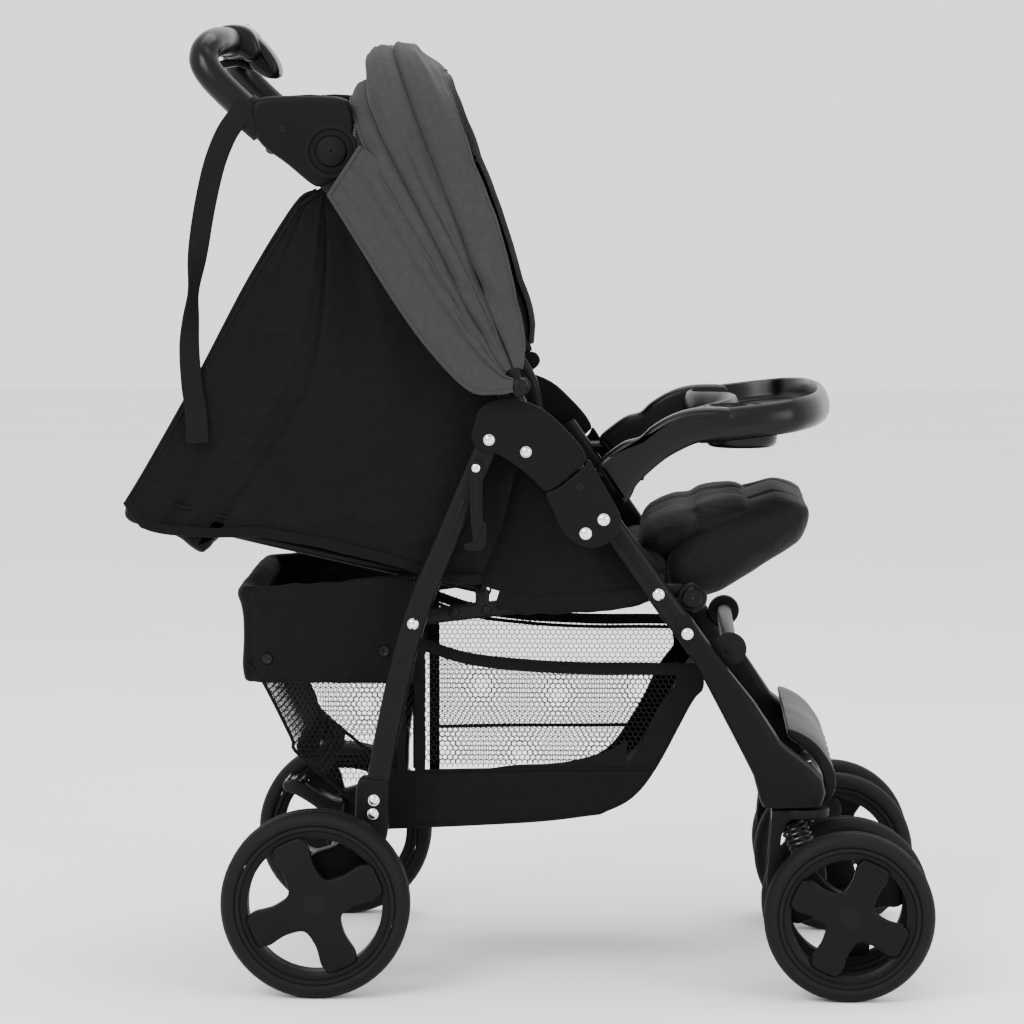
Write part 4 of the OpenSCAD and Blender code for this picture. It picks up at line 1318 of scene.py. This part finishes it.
def strip(line, width_in, side, n=60, lift=0.6, seed=0.0):
    """Band of cloth following a line on the basket's side, from the line inwards by width_in (dx, dz)."""
    def f(u, v):
        p = along(line, u)[0]
        w = v * (1 + 0.02 * math.sin(u * 19 + seed))
        x, z = p[0] + width_in[0] * w, p[1] + width_in[1] * w
        return x, side * (basket_y(x, z) + lift + wob((x, z, 3), 0.08, 0.5, seed)), z
    return grid(f, n, 8, 1.2)


for s in (RIGHT, LEFT):
    rise = 0 if s == RIGHT else FAR_RISE
    panels.append(strip([(q.x, q.y + rise) for q in spline(NET_RIM, 4)], (0, -11), s, seed=1))
    panels.append(strip(spline(NET_FRONT, 3), (-27, 3), s, seed=2))
    panels.append(strip([(-113, 360), (-113, 166)], (11, 0), s, 40, seed=3))
    panels.append(strip([(-131, 330), (-131, 172)], (9, 0), s, 40, seed=6))
    panels.append(strip(spline([(-142, 161), (-100, 161), (0, 167), (75, 177), (104, 194)], 4),
        (-2, 57 if s == RIGHT else 9), s, lift=0.4, seed=4))


BASKET_HALF = 160


def around(line, dip=5.0, n=52, m=60):
    """Cloth across the basket's full width along a side-view line."""
    smooth = spline(line, 4)

    def f(u, v):
        p, t = along(smooth, v)
        y = BASKET_HALF * (2 * u - 1)
        hollow = 1 - (y / BASKET_HALF) ** 2
        d = -dip * hollow + wob((p.x, y, p.y), 0.02, 2.4, 11) * hollow
        return p.x - t.y * d, y, p.y + t.x * d
    return grid(f, n, m, 1.4)


panels.append(around(NET_FRONT, 7))
panels.append(around([(75, 176), (0, 168), (-127, 160), (-142, 160), (-166, 180)], 4))
panels.append(around([(-219, 225), (-228, 232), (-233, 242)], -3, m=10))
bands = piece("Basket_cloth", panels, "cloth", "frame", (), 60)
pipe = []
for s in (RIGHT, LEFT):
    for line in (NET_RIM, NET_FRONT, [(-142, 160), (0, 167), (75, 176)],
            [(-104, 218), (0, 220), (125, 221)], NET_REAR):
        pts = [(p[0], s * (basket_y(p[0], p[1]) + 1.2), p[1]) for p in spline(line, 5)]
        pipe.append(tube(pts, 1.9, 1.5, 10))
piece("Basket_binding", pipe, "binding", "frame")

# padded rear pocket: a U in plan with a rolled rim
plan_line = spline([(-113, -163.5), (-180, -164), (-250, -164), (-276, -158), (-287, -138), (-288, 0),
    (-287, 138), (-276, 158), (-250, 164), (-180, 164), (-113, 163.5)], 12)
loops = []
N = len(plan_line)
for i, p in enumerate(plan_line):
    a, b = plan_line[max(0, i - 1)], plan_line[min(N - 1, i + 1)]
    t = (b - a).normalized()
    out = Vector((-t.y, t.x))
    if out.dot(Vector((p.x + 150, p.y))) < 0:
        out = -out
    rise = lerp_table(p.x, [(-288, 0), (-200, 5), (-113, 16)])
    lean = max(0.0, (-113 - p.x) / 175)
    w = wob((p.x, p.y, 0), 0.022, 6, 3)
    w2 = wob((p.x, p.y, 50), 0.05, 2.2, 5)
    section = [(-1, 308 + w2 * 0.5), (2.2, 312), (4, 326 + w2), (3.2 + w * 0.5, 350), (3.6 + w * 0.6, 372),
        (5.5 + w * 0.3, 386 + rise), (8, 394 + rise + w2), (6.5, 401 + rise + w2), (0, 405 + rise + w2),
        (-8, 403 + rise + w2), (-13, 396 + rise), (-12, 388 + rise), (-7, 384 + rise), (-5 + w * 0.5, 366),
        (-5, 340), (-4, 316), (-3, 309)]
    ring = []
    for o, z in spline(section, 3, True):
        k = (z - 308) / 100
        shrink = 8 * (1 - k) * lean
        q = p + out * (o - shrink if abs(p.y) < 150 else o - 1)
        ring.append((q.x, max(-166, min(166, q.y)), z))
    loops.append(ring)
pocket = piece("Basket_pocket", rings(loops), "cloth", "frame", ["basket_pocket"], 60)
snaps = []
for x, z in ((-262, 333), (-143, 341)):
    snaps += both(lathe((x, z), [(164.5, 0.6), (164.5, 6), (166.4, 6), (167.6, 5), (167.7, 3.4),
        (167.1, 2.6), (167.1, 0.6)], 28))
piece("Basket_snaps", snaps, "gloss", "frame")

# ---------------------------------------------------------------- wrist strap

STRAP = [(-276, -209.5, 896), (-285, -209.5, 880), (-297, -209, 862), (-309, -207, 832), (-319, -204, 790),
    (-326, -201, 748), (-331, -199, 708), (-334, -198, 680), (-336, -196, 650), (-334, -194, 613),
    (-330, -192, 584), (-329, -191, 554)]
TURN = [0, 0, 8, 12, 18, 30, 66, 48, 30, 22, 16, 10]
strap_path = spline(STRAP, 8)
turn = spline([(a, 0) for a in TURN], 8)
loops = []
for i, p in enumerate(strap_path):
    t = (strap_path[min(i + 1, len(strap_path) - 1)] - strap_path[max(0, i - 1)]).normalized()
    flat_dir = t.cross(Vector((0, 1, 0))).normalized()
    a = math.radians(turn[i].x)
    wide = (flat_dir * math.cos(a) + Vector((0, 1, 0)) * math.sin(a)).normalized()
    nrm = t.cross(wide).normalized()
    loops.append([p + wide * 11 * sg(math.cos(TAU * k / 24), 6) + nrm * 1.3 * sg(math.sin(TAU * k / 24),
        3) for k in range(24)])
strap_parts = [rings(loops)]
riser = [Vector((-259, -194, 869)), Vector((-270, -194, 878.5)), Vector((-281, -193.5, 889))]
strap_parts.append(tube(riser, 17.4, 17.2, 36, 2.3))
strap_ob = piece("Wrist_strap", strap_parts, "webbing", "handle", ["wrist_strap"])
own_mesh(strap_ob)

# ---------------------------------------------------------------- room, light and camera

def flat_plane(name, pts, mat):
    me = bpy.data.meshes.new(name)
    me.from_pydata([Vector(p) for p in pts[0]], [], pts[1])
    me.polygons.foreach_set("use_smooth", [True] * len(me.polygons))
    me.materials.append(mat)
    ob = put(name, me)
    return ob


paper, nt, b = new_mat("studio_paper")
n = noise_tex(nt, 3.0, 3)
c = ramp(nt, n.outputs["Fac"], [(0.3, grey(0.9)), (0.7, grey(0.93))])
nt.links.new(c.outputs["Color"], b.inputs["Base Color"])
b.inputs["Roughness"].default_value = 0.9
flat_plane("Studio_floor", ([(-9, -9, 0), (9, -9, 0), (9, 9, 0), (-9, 9, 0)], [(0, 1, 2, 3)]), paper)

ROOM_LIGHT = 1.7
world = bpy.data.worlds.new("studio")
bpy.context.scene.world = world
world.use_nodes = True
world.node_tree.nodes["Background"].inputs["Color"].default_value = (1, 1, 1, 1)
world.node_tree.nodes["Background"].inputs["Strength"].default_value = ROOM_LIGHT


def lamp(name, at, target, size, power):
    data = bpy.data.lights.new(name, "AREA")
    data.shape = "RECTANGLE"
    data.size, data.size_y = size
    data.energy = power
    ob = put(name, data)
    ob.location = at
    ob.rotation_euler = (Vector(target) - Vector(at)).to_track_quat("-Z", "Y").to_euler()


lamp("Key", (-1.6, -2.6, 2.6), (0, 0, 0.5), (1.5, 1.5), 110)
lamp("Fill", (2.4, -2.4, 1.4), (0, 0, 0.5), (1.4, 1.4), 50)
lamp("Top", (0.2, 0.6, 3.0), (0, 0, 0.6), (1.8, 1.8), 48)

LENS = 158.2
CAMERA_AT = (0.1139, -4.6813, 0.9064)
TILT_DOWN, TURN_IN = math.radians(5.3574), math.radians(1.6222)
cam_data = bpy.data.cameras.new("Photo_view")
cam_data.lens = LENS
cam_data.sensor_width = 36
cam = put("Photo_view", cam_data)
cam.location = CAMERA_AT
look = Vector((-math.sin(TURN_IN) * math.cos(TILT_DOWN), math.cos(TURN_IN) * math.cos(TILT_DOWN),
    -math.sin(TILT_DOWN)))
cam.rotation_euler = look.to_track_quat("-Z", "Y").to_euler()
bpy.context.scene.camera = cam
